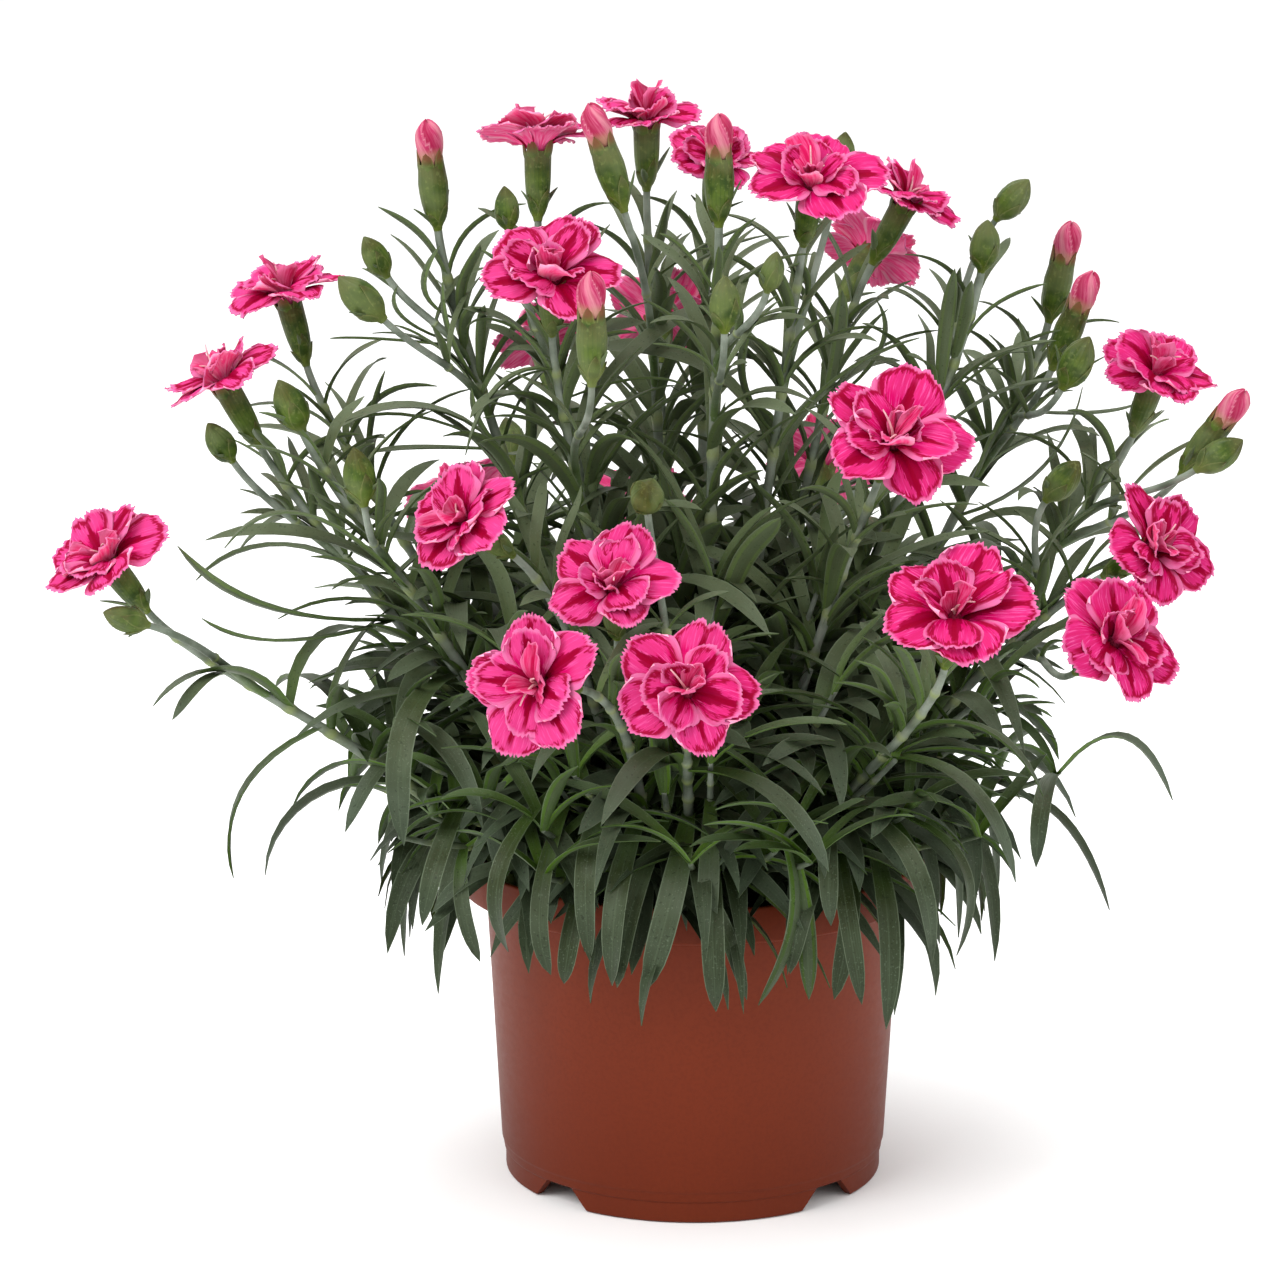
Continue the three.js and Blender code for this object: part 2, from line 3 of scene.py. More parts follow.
import bpy
import numpy as np
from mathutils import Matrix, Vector


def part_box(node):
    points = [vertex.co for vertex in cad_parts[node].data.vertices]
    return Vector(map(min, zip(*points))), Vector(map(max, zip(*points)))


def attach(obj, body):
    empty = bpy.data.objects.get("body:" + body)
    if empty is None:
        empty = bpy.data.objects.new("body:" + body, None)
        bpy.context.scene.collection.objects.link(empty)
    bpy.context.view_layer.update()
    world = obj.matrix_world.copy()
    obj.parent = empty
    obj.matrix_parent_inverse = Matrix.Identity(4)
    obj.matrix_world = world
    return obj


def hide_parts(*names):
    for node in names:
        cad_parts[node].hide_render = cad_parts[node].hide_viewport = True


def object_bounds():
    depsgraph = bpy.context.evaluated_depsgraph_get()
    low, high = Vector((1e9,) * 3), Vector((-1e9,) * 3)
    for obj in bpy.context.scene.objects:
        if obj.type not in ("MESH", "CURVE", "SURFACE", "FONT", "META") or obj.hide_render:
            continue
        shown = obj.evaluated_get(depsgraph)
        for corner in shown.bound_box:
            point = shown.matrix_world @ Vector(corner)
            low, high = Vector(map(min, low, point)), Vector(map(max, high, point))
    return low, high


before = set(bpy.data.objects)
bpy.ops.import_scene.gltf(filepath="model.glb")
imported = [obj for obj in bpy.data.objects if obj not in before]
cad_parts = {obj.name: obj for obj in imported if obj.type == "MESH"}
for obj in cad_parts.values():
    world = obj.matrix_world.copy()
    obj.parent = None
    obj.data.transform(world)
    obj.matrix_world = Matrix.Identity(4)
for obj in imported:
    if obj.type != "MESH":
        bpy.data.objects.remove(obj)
cad_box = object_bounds()

MM = 0.001
low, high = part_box("pot")
POT_AXIS = np.array([(low[0] + high[0]) / 2, (low[1] + high[1]) / 2, 0.0]) / MM

# ---------------- the part's own measures

POT = {
    "height": 92, "collar": 65, "collar_height": 10, "top": 57.5, "bottom": 53.4, "wall": 1.6,
    "lip": 0.7, "base": 6, "step": 0.8, "step_height": 2.6, "foot": 52.4, "foot_width": 2.6,
    "notches": 4, "notch_ground": 11, "notch_base": 5, "holes": 8, "hole": 4.5, "hole_ring": 38,
}
SOIL_TOP = 83
ROOT_DEPTH = 10
ROOT_SHARE = 0.28
CALYX_LENGTH = 17
SEAT = {"bloom": 6, "bud": 5, "green": 7}  # from a head's place back to its calyx, or to its foot
# The heads of each stem: kind, place, azimuth and elevation of the axis, and radius
STEMS = [
    [["bloom", -156, -60, 188, -45, 50, 19], ["green", -150, -68, 172, -70, 20, 3.4]],
    [["bloom", -128, -20, 229, -80, 62, 17.5], ["green", -127, -30, 212, -50, 55, 3.6]],
    [["bloom", -112, 10, 248, -70, 75, 18]],
    [["green", -107, -40, 223, -60, 65, 4.2], ["green", -88, -60, 208, -60, 80, 4.2]],
    [["bud", -71, -10, 288, -60, 84], ["green", -88, -38, 251, -80, 45, 4.4],
     ["green", -86, -16, 260, -70, 60, 3.4]],
    [["bloom", -38, -50, 261, 0, 55, 20], ["bud", -27, -92, 260, 0, 82]],
    [["bloom", -42, -10, 292, 180, 78, 19], ["green", -50, -34, 276, -60, 84, 3.2]],
    [["bloom", -13, 12, 296, 0, 80, 15.5], ["bud", -26, -38, 296, -80, 72]],
    [["bloom", 7, 42, 280, 10, 62, 15]],
    [["bud", 6, -30, 292, 0, 88], ["green", 7, -62, 254, 0, 82, 4], ["green", 20, -50, 262, 60, 75, 3]],
    [["bloom", 31, -22, 282, 10, 60, 20], ["green", 40, 10, 284, 60, 80, 3.4]],
    [["bloom", 60, 22, 272, 75, 62, 16], ["bloom", 52, 72, 249, 150, 35, 17]],
    [["green", 79, 12, 258, 20, 75, 4], ["green", 88, 30, 268, 60, 50, 4]],
    [["bud", 104, 44, 253, 50, 76], ["bud", 107, 20, 243, 70, 68], ["green", 103, -4, 228, 60, 62, 4.4]],
    [["bloom", 127, 10, 225, 30, 62, 18.5], ["bud", 144, -14, 217, 70, 55],
     ["green", 141, -20, 206, 80, 35, 4]],
    [["bloom", 51, -70, 221, 10, 40, 21]],
    [["bloom", 65, -100, 182, 5, 52, 21.5]],
    [["bloom", 125, -28, 183, 42, 30, 19.5], ["bloom", 110, -72, 168, 30, 35, 20.5],
     ["green", 99, -20, 199, 60, 50, 4]],
    [["bloom", -62, -80, 202, -45, 35, 17.5]],
    [["bloom", -42, -125, 168, -30, 15, 19.5], ["bloom", -22, -97, 189, -5, 52, 18]],
    [["bloom", -3, -124, 167, 0, 32, 18.5], ["green", -13, -86, 208, 0, 30, 4.2]],
    [["bloom", -9, 72, 230, 180, 30, 17], ["bloom", -44, 62, 225, -160, 40, 16]],
    [["bloom", -68, 100, 170, -145, 35, 19], ["green", -52, 84, 190, -150, 60, 4]],
    [["bloom", -14, 128, 160, 178, 25, 20]],
    [["bloom", 40, 112, 180, 165, 40, 20], ["green", 58, 96, 196, 140, 60, 4]],
    [["bloom", 78, 86, 142, 130, 20, 19]],
]
# [share of the stem, turn from outwards, shortest, longest, lowest end, highest end]
LEAF_PLACES = [
    [0.1, 72, 62, 86, -88, -50],
    [0.18, -66, 62, 86, -88, -50],
    [0.26, 5, 58, 82, -85, -40],
    [0.4, 95, 54, 78, -75, -20],
    [0.4, -85, 54, 78, -75, -20],
    [0.58, 10, 44, 66, -65, -10],
]

# ---------------- draws, directions and curves

ROUND = 6.283  # a full turn, for angles that are drawn


def draw(*keys):
    """A repeatable number from 0 to 1, the same as the part's own for the same keys."""
    h = 2166136261
    for key in keys:
        h = ((h ^ (key & 0xFFFFFFFF)) * 16777619) & 0xFFFFFFFF
        h ^= h >> 13
        h = (h * 0x5BD1E995) & 0xFFFFFFFF
        h ^= h >> 15
    return h / 4294967296


def between(a, b, *keys):
    return a + (b - a) * draw(*keys)


def direction(azimuth, elevation):
    a, e = math.radians(azimuth), math.radians(elevation)
    return np.array([math.sin(a) * math.cos(e), -math.cos(a) * math.cos(e), math.sin(e)])


def heading(way):
    """The azimuth of a vector, in degrees."""
    return math.degrees(math.atan2(way[0], -way[1]))


def unit(v):
    v = np.asarray(v, float)
    return v / np.maximum(np.linalg.norm(v, axis=-1, keepdims=True), 1e-9)


def turns(sides):
    return 2 * math.pi * np.arange(sides) / sides


def circle(r, z, sides):
    """A ring of points about +Z, or one for each row of r and z."""
    angle = turns(sides)
    return np.stack(np.broadcast_arrays(r * np.cos(angle), r * np.sin(angle), z), -1)


def about_z(angle):
    c, s = math.cos(angle), math.sin(angle)
    return np.array([[c, -s, 0], [s, c, 0], [0, 0, 1]])


def bezier(points, t):
    a, b, c, d = (np.asarray(p, float) for p in points)
    t = np.asarray(t, float)[..., None]
    u = 1 - t
    return u**3 * a + 3 * u * u * t * b + 3 * u * t * t * c + t**3 * d


def slope(points, t):
    a, b, c, d = (np.asarray(p, float) for p in points)
    t = np.asarray(t, float)[..., None]
    u = 1 - t
    return unit(3 * u * u * (b - a) + 6 * u * t * (c - b) + 3 * t * t * (d - c))


def arc(base, first, last, length):
    """A curve that sets out along `first` and arrives along `last`."""
    bend = max(math.acos(float(np.clip(first @ last, -1, 1))), 1e-3)
    handle = 4 / 3 * math.tan(bend / 4) * length / bend
    chord = length * math.sin(bend / 2) / (bend / 2)
    tip = base + unit(first + last) * chord
    return [base, base + first * handle, tip - last * handle, tip]


def head_axis(head):
    return direction(head[4], head[5])


def head_base(head):
    back = SEAT[head[0]] + (0 if head[0] == "green" else CALYX_LENGTH)
    return np.array(head[1:4], float) - head_axis(head) * back


def stalk_curve(start, set_out, head, first_bend, longest):
    end = head_base(head)
    reach = np.linalg.norm(end - start)
    back = min(0.35 * reach, longest)
    return [start, start + set_out * first_bend * reach, end - head_axis(head) * back, end]


def main_curve(head):
    end = head_base(head)
    root = np.array([end[0] * ROOT_SHARE, end[1] * ROOT_SHARE, SOIL_TOP - ROOT_DEPTH])
    way = end - root
    return stalk_curve(root, unit([0.55 * way[0], 0.55 * way[1], way[2]]), head, 0.42, 32)


def branch_curve(main, head, number):
    share = [0.7, 0.62][number % 2]
    return stalk_curve(bezier(main, share), slope(main, share), head, 0.3, 20)


def uprightness(end):
    """How upright a stem is that ends there, up to 1 over the pot's axis."""
    return max(0, 1 - math.hypot(end[0], end[1]) / (end[2] - SOIL_TOP))


def frames(tangents, start):
    """Side vectors carried along a line of tangents without twisting."""
    out = [unit(start - tangents[0] * (start @ tangents[0]))]
    for t in tangents[1:]:
        out.append(unit(out[-1] - t * (out[-1] @ t)))
    return np.array(out)


def standing(head, rise=0.0):
    """The turn and place that stand a shape built along +Z on a head's foot, or further up it."""
    axis = head_axis(head)
    turn = Vector((0, 0, 1)).rotation_difference(Vector(axis)).to_matrix()
    return np.array(turn), head_base(head) + axis * rise


# The photograph's camera, from the pot's axis
PHOTO = 1280  # its columns and rows
LENS = 5000
EYE = np.array([-14.8, -1337, 461.0])
PITCH = math.radians(13.09)
AHEAD = np.array([0, math.cos(PITCH), -math.sin(PITCH)])
ABOVE = np.array([0, math.sin(PITCH), math.cos(PITCH)])


def pixel(px, py, depth):
    """The place that shows at a pixel of the photograph, so far behind the pot's axis."""
    ray = AHEAD + np.array([(px - PHOTO / 2) / LENS, 0, 0]) + ABOVE * (PHOTO / 2 - py) / LENS
    return EYE + ray * (depth - EYE[1]) / ray[1]


def seen(points):
    """The pixels where places show in the photograph, and how far from the camera they are."""
    way = np.asarray(points, float) - EYE
    ahead = way @ AHEAD
    return PHOTO / 2 + LENS * way[..., 0] / ahead, PHOTO / 2 - LENS * (way @ ABOVE) / ahead, ahead


# ---------------- mesh building

PLAIN = (0, 0, 0)
SEAM = np.array([1.0, 0.2, 0.1])  # the side that a tube's first corner lies on


class Skin:
    """Gathers closed skins into one object. Their grain and tone are what materials paint by: the
    grain holds the share along, the place across from -1 to 1, and a seed."""

    def __init__(self):
        self.points, self.grain, self.tone = [], [], []
        self.corners, self.sizes, self.slots = [], [], []
        self.count = 0

    def add(self, points, faces, grain, tone, slots, stand):
        """Takes points and groups of faces, all in one slot or each group in its own."""
        if stand is not None:
            points = points @ stand[0].T + stand[1]
        self.points.append(points)
        self.grain.append(grain)
        self.tone.append(tone)
        for group, slot in zip(faces, np.broadcast_to(slots, len(faces))):
            self.corners.append((group + self.count).reshape(-1))
            self.sizes.append(np.full(len(group), group.shape[1]))
            self.slots.append(np.full(len(group), slot))
        self.count += len(points)

    def loft(self, rings, grain, tone, slot, stand=None, centred=False):
        """A closed skin over (k, n, 3) rings, counter-clockwise from the last end. The middle of an
        end is painted as the first point of its ring, or as the leaf's middle where `centred`."""
        k, n = rings.shape[:2]
        ids = np.arange(k * n).reshape(k, n)
        after = np.roll(ids, -1, axis=1)
        sides = np.stack([ids[:-1], after[:-1], after[1:], ids[1:]], -1).reshape(-1, 4)
        foot = np.stack([after[0], ids[0], np.full(n, k * n)], -1)
        end = np.stack([ids[-1], after[-1], np.full(n, k * n + 1)], -1)
        grain = np.stack([np.broadcast_to(part, (k, n)) for part in grain], -1)
        ends = grain[[0, -1], 0]
        if centred:
            ends[:, 1] = 0
        tone = np.broadcast_to(tone, (k, n))
        self.add(np.concatenate([rings.reshape(-1, 3), rings[[0, -1]].mean(1)]), [sides, foot, end],
                 np.concatenate([grain.reshape(-1, 3), ends]),
                 np.concatenate([tone.reshape(-1), tone[[0, -1], 0]]), slot, stand)

    def sheet(self, top, thick, grain, tone, slots, stand):
        """A thin closed body under an (m, n, 3) grid, with slots for its top, underside and rim."""
        m, n = top.shape[:2]
        normal = unit(np.cross(np.gradient(top, axis=0), np.gradient(top, axis=1)))
        under = top - normal * thick[..., None]
        ids = np.arange(m * n).reshape(m, n)
        upper = np.stack([ids[:-1, :-1], ids[1:, :-1], ids[1:, 1:], ids[:-1, 1:]], -1).reshape(-1, 4)
        lower = upper[:, ::-1] + m * n
        edge = np.concatenate([ids[:, 0], ids[-1, 1:], ids[::-1, -1][1:], ids[0, ::-1][1:-1]])
        after = np.roll(edge, -1)
        rim = np.stack([after, edge, edge + m * n, after + m * n], -1)
        grain = np.stack([np.broadcast_to(part, (m, n)) for part in grain], -1).reshape(-1, 3)
        tone = np.broadcast_to(tone, (m, n)).reshape(-1)
        self.add(np.concatenate([top, under]).reshape(-1, 3), [upper, lower, rim],
                 np.tile(grain, (2, 1)), np.tile(tone, 2), slots, stand)

    def make(self, name, materials, crease=55):
        points = (np.concatenate(self.points) + POT_AXIS) * MM
        corners, sizes = np.concatenate(self.corners), np.concatenate(self.sizes)
        mesh = bpy.data.meshes.new(name)
        mesh.vertices.add(len(points))
        mesh.vertices.foreach_set("co", points.astype(np.float32).reshape(-1))
        mesh.loops.add(len(corners))
        mesh.loops.foreach_set("vertex_index", corners.astype(np.int32))
        mesh.polygons.add(len(sizes))
        mesh.polygons.foreach_set("loop_start", (np.cumsum(sizes) - sizes).astype(np.int32))
        mesh.polygons.foreach_set("material_index", np.concatenate(self.slots).astype(np.int32))
        mesh.update(calc_edges=True)
        mesh.polygons.foreach_set("use_smooth", np.ones(len(sizes), bool))
        for label, kind, field, values in (("grain", "FLOAT_VECTOR", "vector", self.grain),
                                           ("tone", "FLOAT", "value", self.tone)):
            made = mesh.attributes.new(label, kind, "POINT")
            made.data.foreach_set(field, np.concatenate(values).astype(np.float32).reshape(-1))
        mesh.set_sharp_from_angle(angle=math.radians(crease))
        for material in materials:
            mesh.materials.append(material)
        mesh.validate()
        piece = bpy.data.objects.new(name, mesh)
        bpy.context.scene.collection.objects.link(piece)
        return piece


def tube(skin, line, radii, sides, seed, tone, slot):
    """A round stalk along a line of points, with its own swellings in radii."""
    tangents = unit(np.gradient(line, axis=0))
    side = frames(tangents, SEAM)
    other = np.cross(tangents, side)
    angle = turns(sides)[:, None]
    spokes = side[:, None] * np.cos(angle) + other[:, None] * np.sin(angle)
    along = np.linspace(0, 1, len(line))[:, None]
    skin.loft(line[:, None] + radii[:, None, None] * spokes, (along, np.sin(angle[:, 0]), seed),
              tone[:, None], slot)


# ---------------- leaves

STEM_SLOT, LEAF_SLOT, CALYX_SLOT = range(3)
LEAF_STEPS = 12
# A blade's ring: its places across, and which of them are the keel below
ACROSS = np.array([1, 0.5, 0, -0.5, -1, -0.35, 0.35])
KEEL = np.array([0, 0, 0, 0, 0, 1, 1.0])
UNDERSIDE_TONE = 2


def leaf(skin, curve, half, twist, fold, seed, young, wave=0.0, blunt=None):
    """One blade: a shallow channel above and a keel below, widest past its middle. Its seed sets how
    blunt the tip is, unless `blunt` does."""
    blunt = 2.0 + 3.6 * (seed if blunt is None else blunt)
    s = np.linspace(0, 1, LEAF_STEPS) ** 0.82
    line, along = bezier(curve, s), slope(curve, s)
    level = np.cross(along, [0, 0, 1.0])
    flattest = np.linalg.norm(level, axis=1).argmax()
    onwards = frames(along[flattest:], unit(level[flattest]))
    back = frames(along[: flattest + 1][::-1], unit(level[flattest]))[::-1]
    level = np.concatenate([back, onwards[1:]])
    angle = (twist * s)[:, None]
    side = level * np.cos(angle) + np.cross(level, along) * np.sin(angle)
    above = np.cross(side, along)
    if wave:
        line = line + side * (wave * np.sin(2.4 * math.pi * s + 6.28 * seed) * s)[:, None]
    rise = np.clip(s / 0.55, 0, 1)
    fall = np.clip((s - 0.45) / 0.55, 0, 1)
    width = half * (0.5 + 0.5 * np.sin(rise * math.pi / 2)) * np.maximum(1 - fall**blunt, 0.012)
    width = width[:, None]
    out = np.abs(ACROSS)
    lift = (fold * (1 - 0.55 * s))[:, None] * width * (out**1.3 - 0.3)
    lift = lift - KEEL * (0.3 + 0.25 * (1 - out**2)) * (0.5 + 0.5 * (width / half))
    rings = line[:, None] + side[:, None] * (width * ACROSS)[..., None] + above[:, None] * lift[..., None]
    skin.loft(rings, (s[:, None], ACROSS, seed), young + KEEL * UNDERSIDE_TONE, LEAF_SLOT, centred=True)


def part_leaf_curve(stem, place, attempt, main):
    """The part's own line for a leaf, on one of the tries it makes to set it clear."""
    share, turn, shortest, longest, lowest, highest = LEAF_PLACES[place]
    aside = (1 if attempt % 2 else -1) * 14 * math.ceil(attempt / 2)
    base, end = bezier(main, share), bezier(main, 1)
    azimuth = heading(end) + turn + between(-18, 18, stem, place, 1) + aside
    erect = 35 * uprightness(end)
    start = between(42, 60, stem, place, 2) + 0.4 * erect + 2 * attempt
    finish = between(lowest, highest, stem, place, 3) + erect + 4 * attempt
    curl = between(-35, 35, stem, place, 4)
    length = between(shortest, longest, stem, place, 5) * (1 - 0.03 * attempt)
    return arc(base, direction(azimuth, start), direction(azimuth + curl, finish), length)


HEADS = sum(STEMS, [])
BLOOM_AT = np.array([head[1:4] for head in HEADS if head[0] == "bloom"], float)
BLOOM_R = np.array([head[6] for head in HEADS if head[0] == "bloom"], float)
BUD_AT = np.array([head[1:4] for head in HEADS if head[0] != "bloom"], float)
FAR_SIDE = 50  # blooms behind this are not seen from the front
BLOOM_SHOWN = BLOOM_AT[:, 1] < FAR_SIDE
BLOOM_FILL = 0.95  # the share of a bloom's radius that leaves keep out of
# The stems that the photograph shows bare: those of the front blooms, and the right-hand one
BARE_STEMS = [main_curve(heads[0]) for number, heads in enumerate(STEMS, 1)
              if heads[0][0] == "bloom" and heads[0][2] < -60 or number == 18]
STEM_AT = np.concatenate([bezier(main, np.linspace(0.44, 0.97, 16)) for main in BARE_STEMS])
# The part's leaves that would hide their own stem, {(stem, place): degrees they are swung aside}
SWING = {(15, 5): -24, (18, 5): 24, (19, 5): -24, (20, 5): -24}

MOUND = [[40, 86], [75, 90], [95, 95], [115, 102], [140, 107], [165, 113], [190, 124]]  # [height, reach]
MOUND_HEART = 79
BLOOM_PIXELS, BUD_PIXELS, STEM_PIXELS = 3.4, 18, 12  # kept clear: for each mm of radius, and for each place
LOWEST, HIGHEST = np.array(cad_box[0]) + 0.001, np.array(cad_box[1]) - 0.001


def hides(points, places, reach):
    """Whether one of the points shows in front of a place, within so many pixels of it."""
    px, py, ahead = (value[:, None] for value in seen(points))
    x, y, away = seen(places)
    return ((np.hypot(px - x, py - y) < reach) & (ahead < away - 2)).any()


def free(curve, half=3.0, loose=1.0):
    """Whether a leaf keeps inside the mound and the part's box and off the blooms, and hides no
    bloom, bud or bare stem of the photograph. `loose` is the share of the mound that it may fill."""
    points = bezier(curve, np.linspace(0.25, 1, 8))
    reach = MOUND_HEART + (np.interp(points[:, 2], *np.transpose(MOUND)) - MOUND_HEART) * loose
    if ((np.hypot(points[:, 0], points[:, 1]) > reach) & (points[:, 2] < MOUND[-1][0])).any():
        return False
    gap = np.linalg.norm(points[:, None] - BLOOM_AT, axis=2)
    if (gap < BLOOM_R * BLOOM_FILL + half).any():
        return False
    if hides(points, BLOOM_AT[BLOOM_SHOWN], BLOOM_R[BLOOM_SHOWN] * BLOOM_PIXELS):
        return False
    if hides(points, BUD_AT, BUD_PIXELS):
        return False
    if hides(bezier(curve, np.linspace(0.12, 1, 24)), STEM_AT, STEM_PIXELS):
        return False
    world = (points + POT_AXIS) * MM
    return bool((world > LOWEST).all() and (world < HIGHEST).all())


def swung(curve, degrees):
    """A leaf's curve turned about the upright through its foot."""
    turn = about_z(math.radians(degrees))
    return [curve[0] + turn @ (point - curve[0]) for point in curve]


CLEARANCE = 2.5  # from the collar
PUSHES = ((1, 0.4), (2, 1.0), (3, 0.8))  # how much each of a curve's points gives way


def clear_of_pot(curve):
    """The curve with its handles moved outwards until the blade hangs outside the collar, or None."""
    curve = [np.array(p, float) for p in curve]
    for _ in range(24):
        points = bezier(curve, np.linspace(0.05, 1, 14))
        r = np.hypot(points[:, 0], points[:, 1])
        low = (points[:, 2] < POT["height"] + CLEARANCE) & (r > POT["collar"] - 8)
        sunk = points[:, 2] < SOIL_TOP + 3
        if not ((low | sunk) & (r < POT["collar"] + CLEARANCE)).any():
            return curve
        for i, push in PUSHES:
            flat = unit([curve[i][0], curve[i][1], 0])
            curve[i] = curve[i] + flat * 2.2 * push + np.array([0, 0, 1.6 * push])
    return None


# ---------------- calyces and buds

CALYX_HEIGHTS = [-1.5, -0.4, 0.8, 2.2, 4, 6.5, 9, 11.5, 14, 16, CALYX_LENGTH, 16.2, 14.5, 13]
CALYX_RADII = {
    "bloom": [1.1, 1.35, 1.95, 2.4, 2.85, 3.2, 3.4, 3.5, 3.55, 3.6, 3.65, 3.35, 3.0, 1.0],
    "bud": [1.1, 1.35, 1.95, 2.65, 3.2, 3.65, 3.9, 4.0, 3.75, 3.55, 3.45, 3.15, 3.0, 1.0],
}
CALYX_RIM = 11  # how many of the heights come before the mouth turns in
GREEN_SHARES = [-0.1, -0.03, 0.04, 0.12, 0.22, 0.34, 0.48, 0.6, 0.71, 0.8, 0.88, 0.94, 0.98, 1.0]
GREEN_RADII = [0.28, 0.36, 0.56, 0.78, 0.93, 1.02, 1.02, 0.94, 0.8, 0.62, 0.43, 0.26, 0.13, 0.04]


def round_body(skin, stand, heights, radii, sides, seed, tone, slot, lobes, depth, twist=0.0):
    """A turned body with soft lobes, such as a calyx tube or a bud. Their depth may change along it."""
    heights, radii = np.array(heights, float)[:, None], np.array(radii, float)[:, None]
    depth = np.broadcast_to(depth, len(heights))[:, None]
    angle = turns(sides)
    r = radii * (1 + depth * np.cos(lobes * angle + twist * heights))
    along = (heights - heights[0]) / (heights.max() - heights[0])
    across = angle / math.pi - 1 + twist * heights / lobes / math.pi
    skin.loft(circle(r, heights, sides), (along, across, seed), tone, slot, stand)


def scale_leaf(skin, stand, profile, angle, start, length, half, out, seed, tone=0.5):
    """A small pointed scale that hugs a calyx: a tooth at its mouth or a scale at its foot. `profile`
    is the calyx's own [heights, radii], and `out` how far the scale's tip stands off it."""
    s, t = np.linspace(0, 1, 8)[:, None], np.linspace(1, -1, 5)
    z = start + length * s + 0 * t
    r = np.interp(z, *profile) - 0.25 + 0.4 * np.minimum(s / 0.3, 1) ** 0.7 + out * s**1.6
    width = half * (1 - s**1.7) * (0.8 + 0.4 * s) + 0.03
    around = angle + width * t / np.maximum(np.interp(start + length * 0.4, *profile), 1)
    r = r - 0.12 * t**2 + 0.14 * (1 - np.abs(t)) ** 2
    top = np.stack([r * np.cos(around), r * np.sin(around), z], -1)
    skin.sheet(top, np.full(z.shape, 0.3), (s, t, seed), tone, CALYX_SLOT, stand)


def bracts(skin, stand, key, length, half):
    """Two small narrow leaves that stand out at a head's foot."""
    turn, place = stand
    up = turn @ np.array([0, 0, 1.0])
    for k in range(2):
        angle = ROUND * draw(key, 96) + math.pi * k + between(-0.5, 0.5, key, k, 97)
        out = turn @ np.array([math.cos(angle), math.sin(angle), 0])
        first, last = between(0.3, 0.7, key, k, 98), between(0.4, 1.5, key, k, 99)
        long = length * between(0.65, 1.1, key, k, 100)
        curve = arc(place - up * 1.2, unit(up + out * first), unit(up + out * last), long)
        leaf(skin, curve, half, 0.0, 0.4, 0.15, 0.2)


def calyx(skin, head, key):
    """The green tube under a bloom or an opening bud, with five teeth and four scales at its foot."""
    stand, radii, seed = standing(head), CALYX_RADII[head[0]], draw(key, 77)
    profile = [CALYX_HEIGHTS[:CALYX_RIM] + [CALYX_LENGTH + 8],
               radii[:CALYX_RIM] + [radii[CALYX_RIM - 1]]]
    least, most = (-0.5, 0.1) if head[0] == "bud" else (0.3, 1.6)
    round_body(skin, stand, CALYX_HEIGHTS, radii, 24, seed, 0, CALYX_SLOT, lobes=12, depth=0.012)
    for k in range(5):
        angle = 2 * math.pi * (k + 0.5 + 0.2 * (draw(key, k, 78) - 0.5)) / 5
        scale_leaf(skin, stand, profile, angle, CALYX_LENGTH - 2.2, between(5.4, 6.8, key, k, 80), 2.2,
                   between(least, most, key, k, 79), seed, 1)
    for k in range(4):
        angle = 2 * math.pi * k / 4 + draw(key, 81)
        tall = between(*((7, 10) if k % 2 else (4.5, 6)), key, k, 82)
        scale_leaf(skin, stand, profile, angle, -0.9, tall, 2.3, between(0.1, 0.5, key, k, 85), seed)
    bracts(skin, stand, key, 13, 1.0)


def green_bud(skin, head, key):
    """A closed bud: a pointed calyx whose five teeth still meet, in the scales at its foot."""
    stand, bulge, seed = standing(head), head[6], draw(key, 90)
    length = 14 * bulge / 4
    s, r = np.array(GREEN_SHARES), np.array(GREEN_RADII)
    seams = 0.02 + 0.13 * np.clip((s - 0.45) / 0.4, 0, 1)
    round_body(skin, stand, s * length, r * bulge, 30, seed, 0.2, CALYX_SLOT, 5, seams, twist=0.06)
    for k in range(4):
        angle = math.pi * k / 2 + draw(key, 91)
        tall = between(*((0.6, 0.78) if k % 2 else (0.4, 0.52)), key, k, 92) * length
        scale_leaf(skin, stand, [s * length, r * bulge], angle, -0.08 * length, tall, 0.66 * bulge,
                   between(0.0, 0.12, key, k, 93) * bulge, seed)
    bracts(skin, stand, key, 2.6 * bulge, 0.25 * bulge)


# ---------------- petals

SLACK = 6  # millimetres in from the rim that the markings are measured over
ROUNDING = 0.7  # how softly the way in from the rim turns its corners
CLAW_STEPS = np.linspace(0, 1.1, 45)
# The slots of a petal's top, underside and rim
BLADE, PETALOID = (0, 1, 0), (2, 2, 2)
STYLE_SLOT, THROAT_SLOT = 3, 4
THROAT_HEIGHTS, THROAT_RADII = [-1.4, -0.6, 0.8, 2.2, 3.4, 3.8], [0.6, 1.4, 2.2, 2.6, 1.4, 0.3]


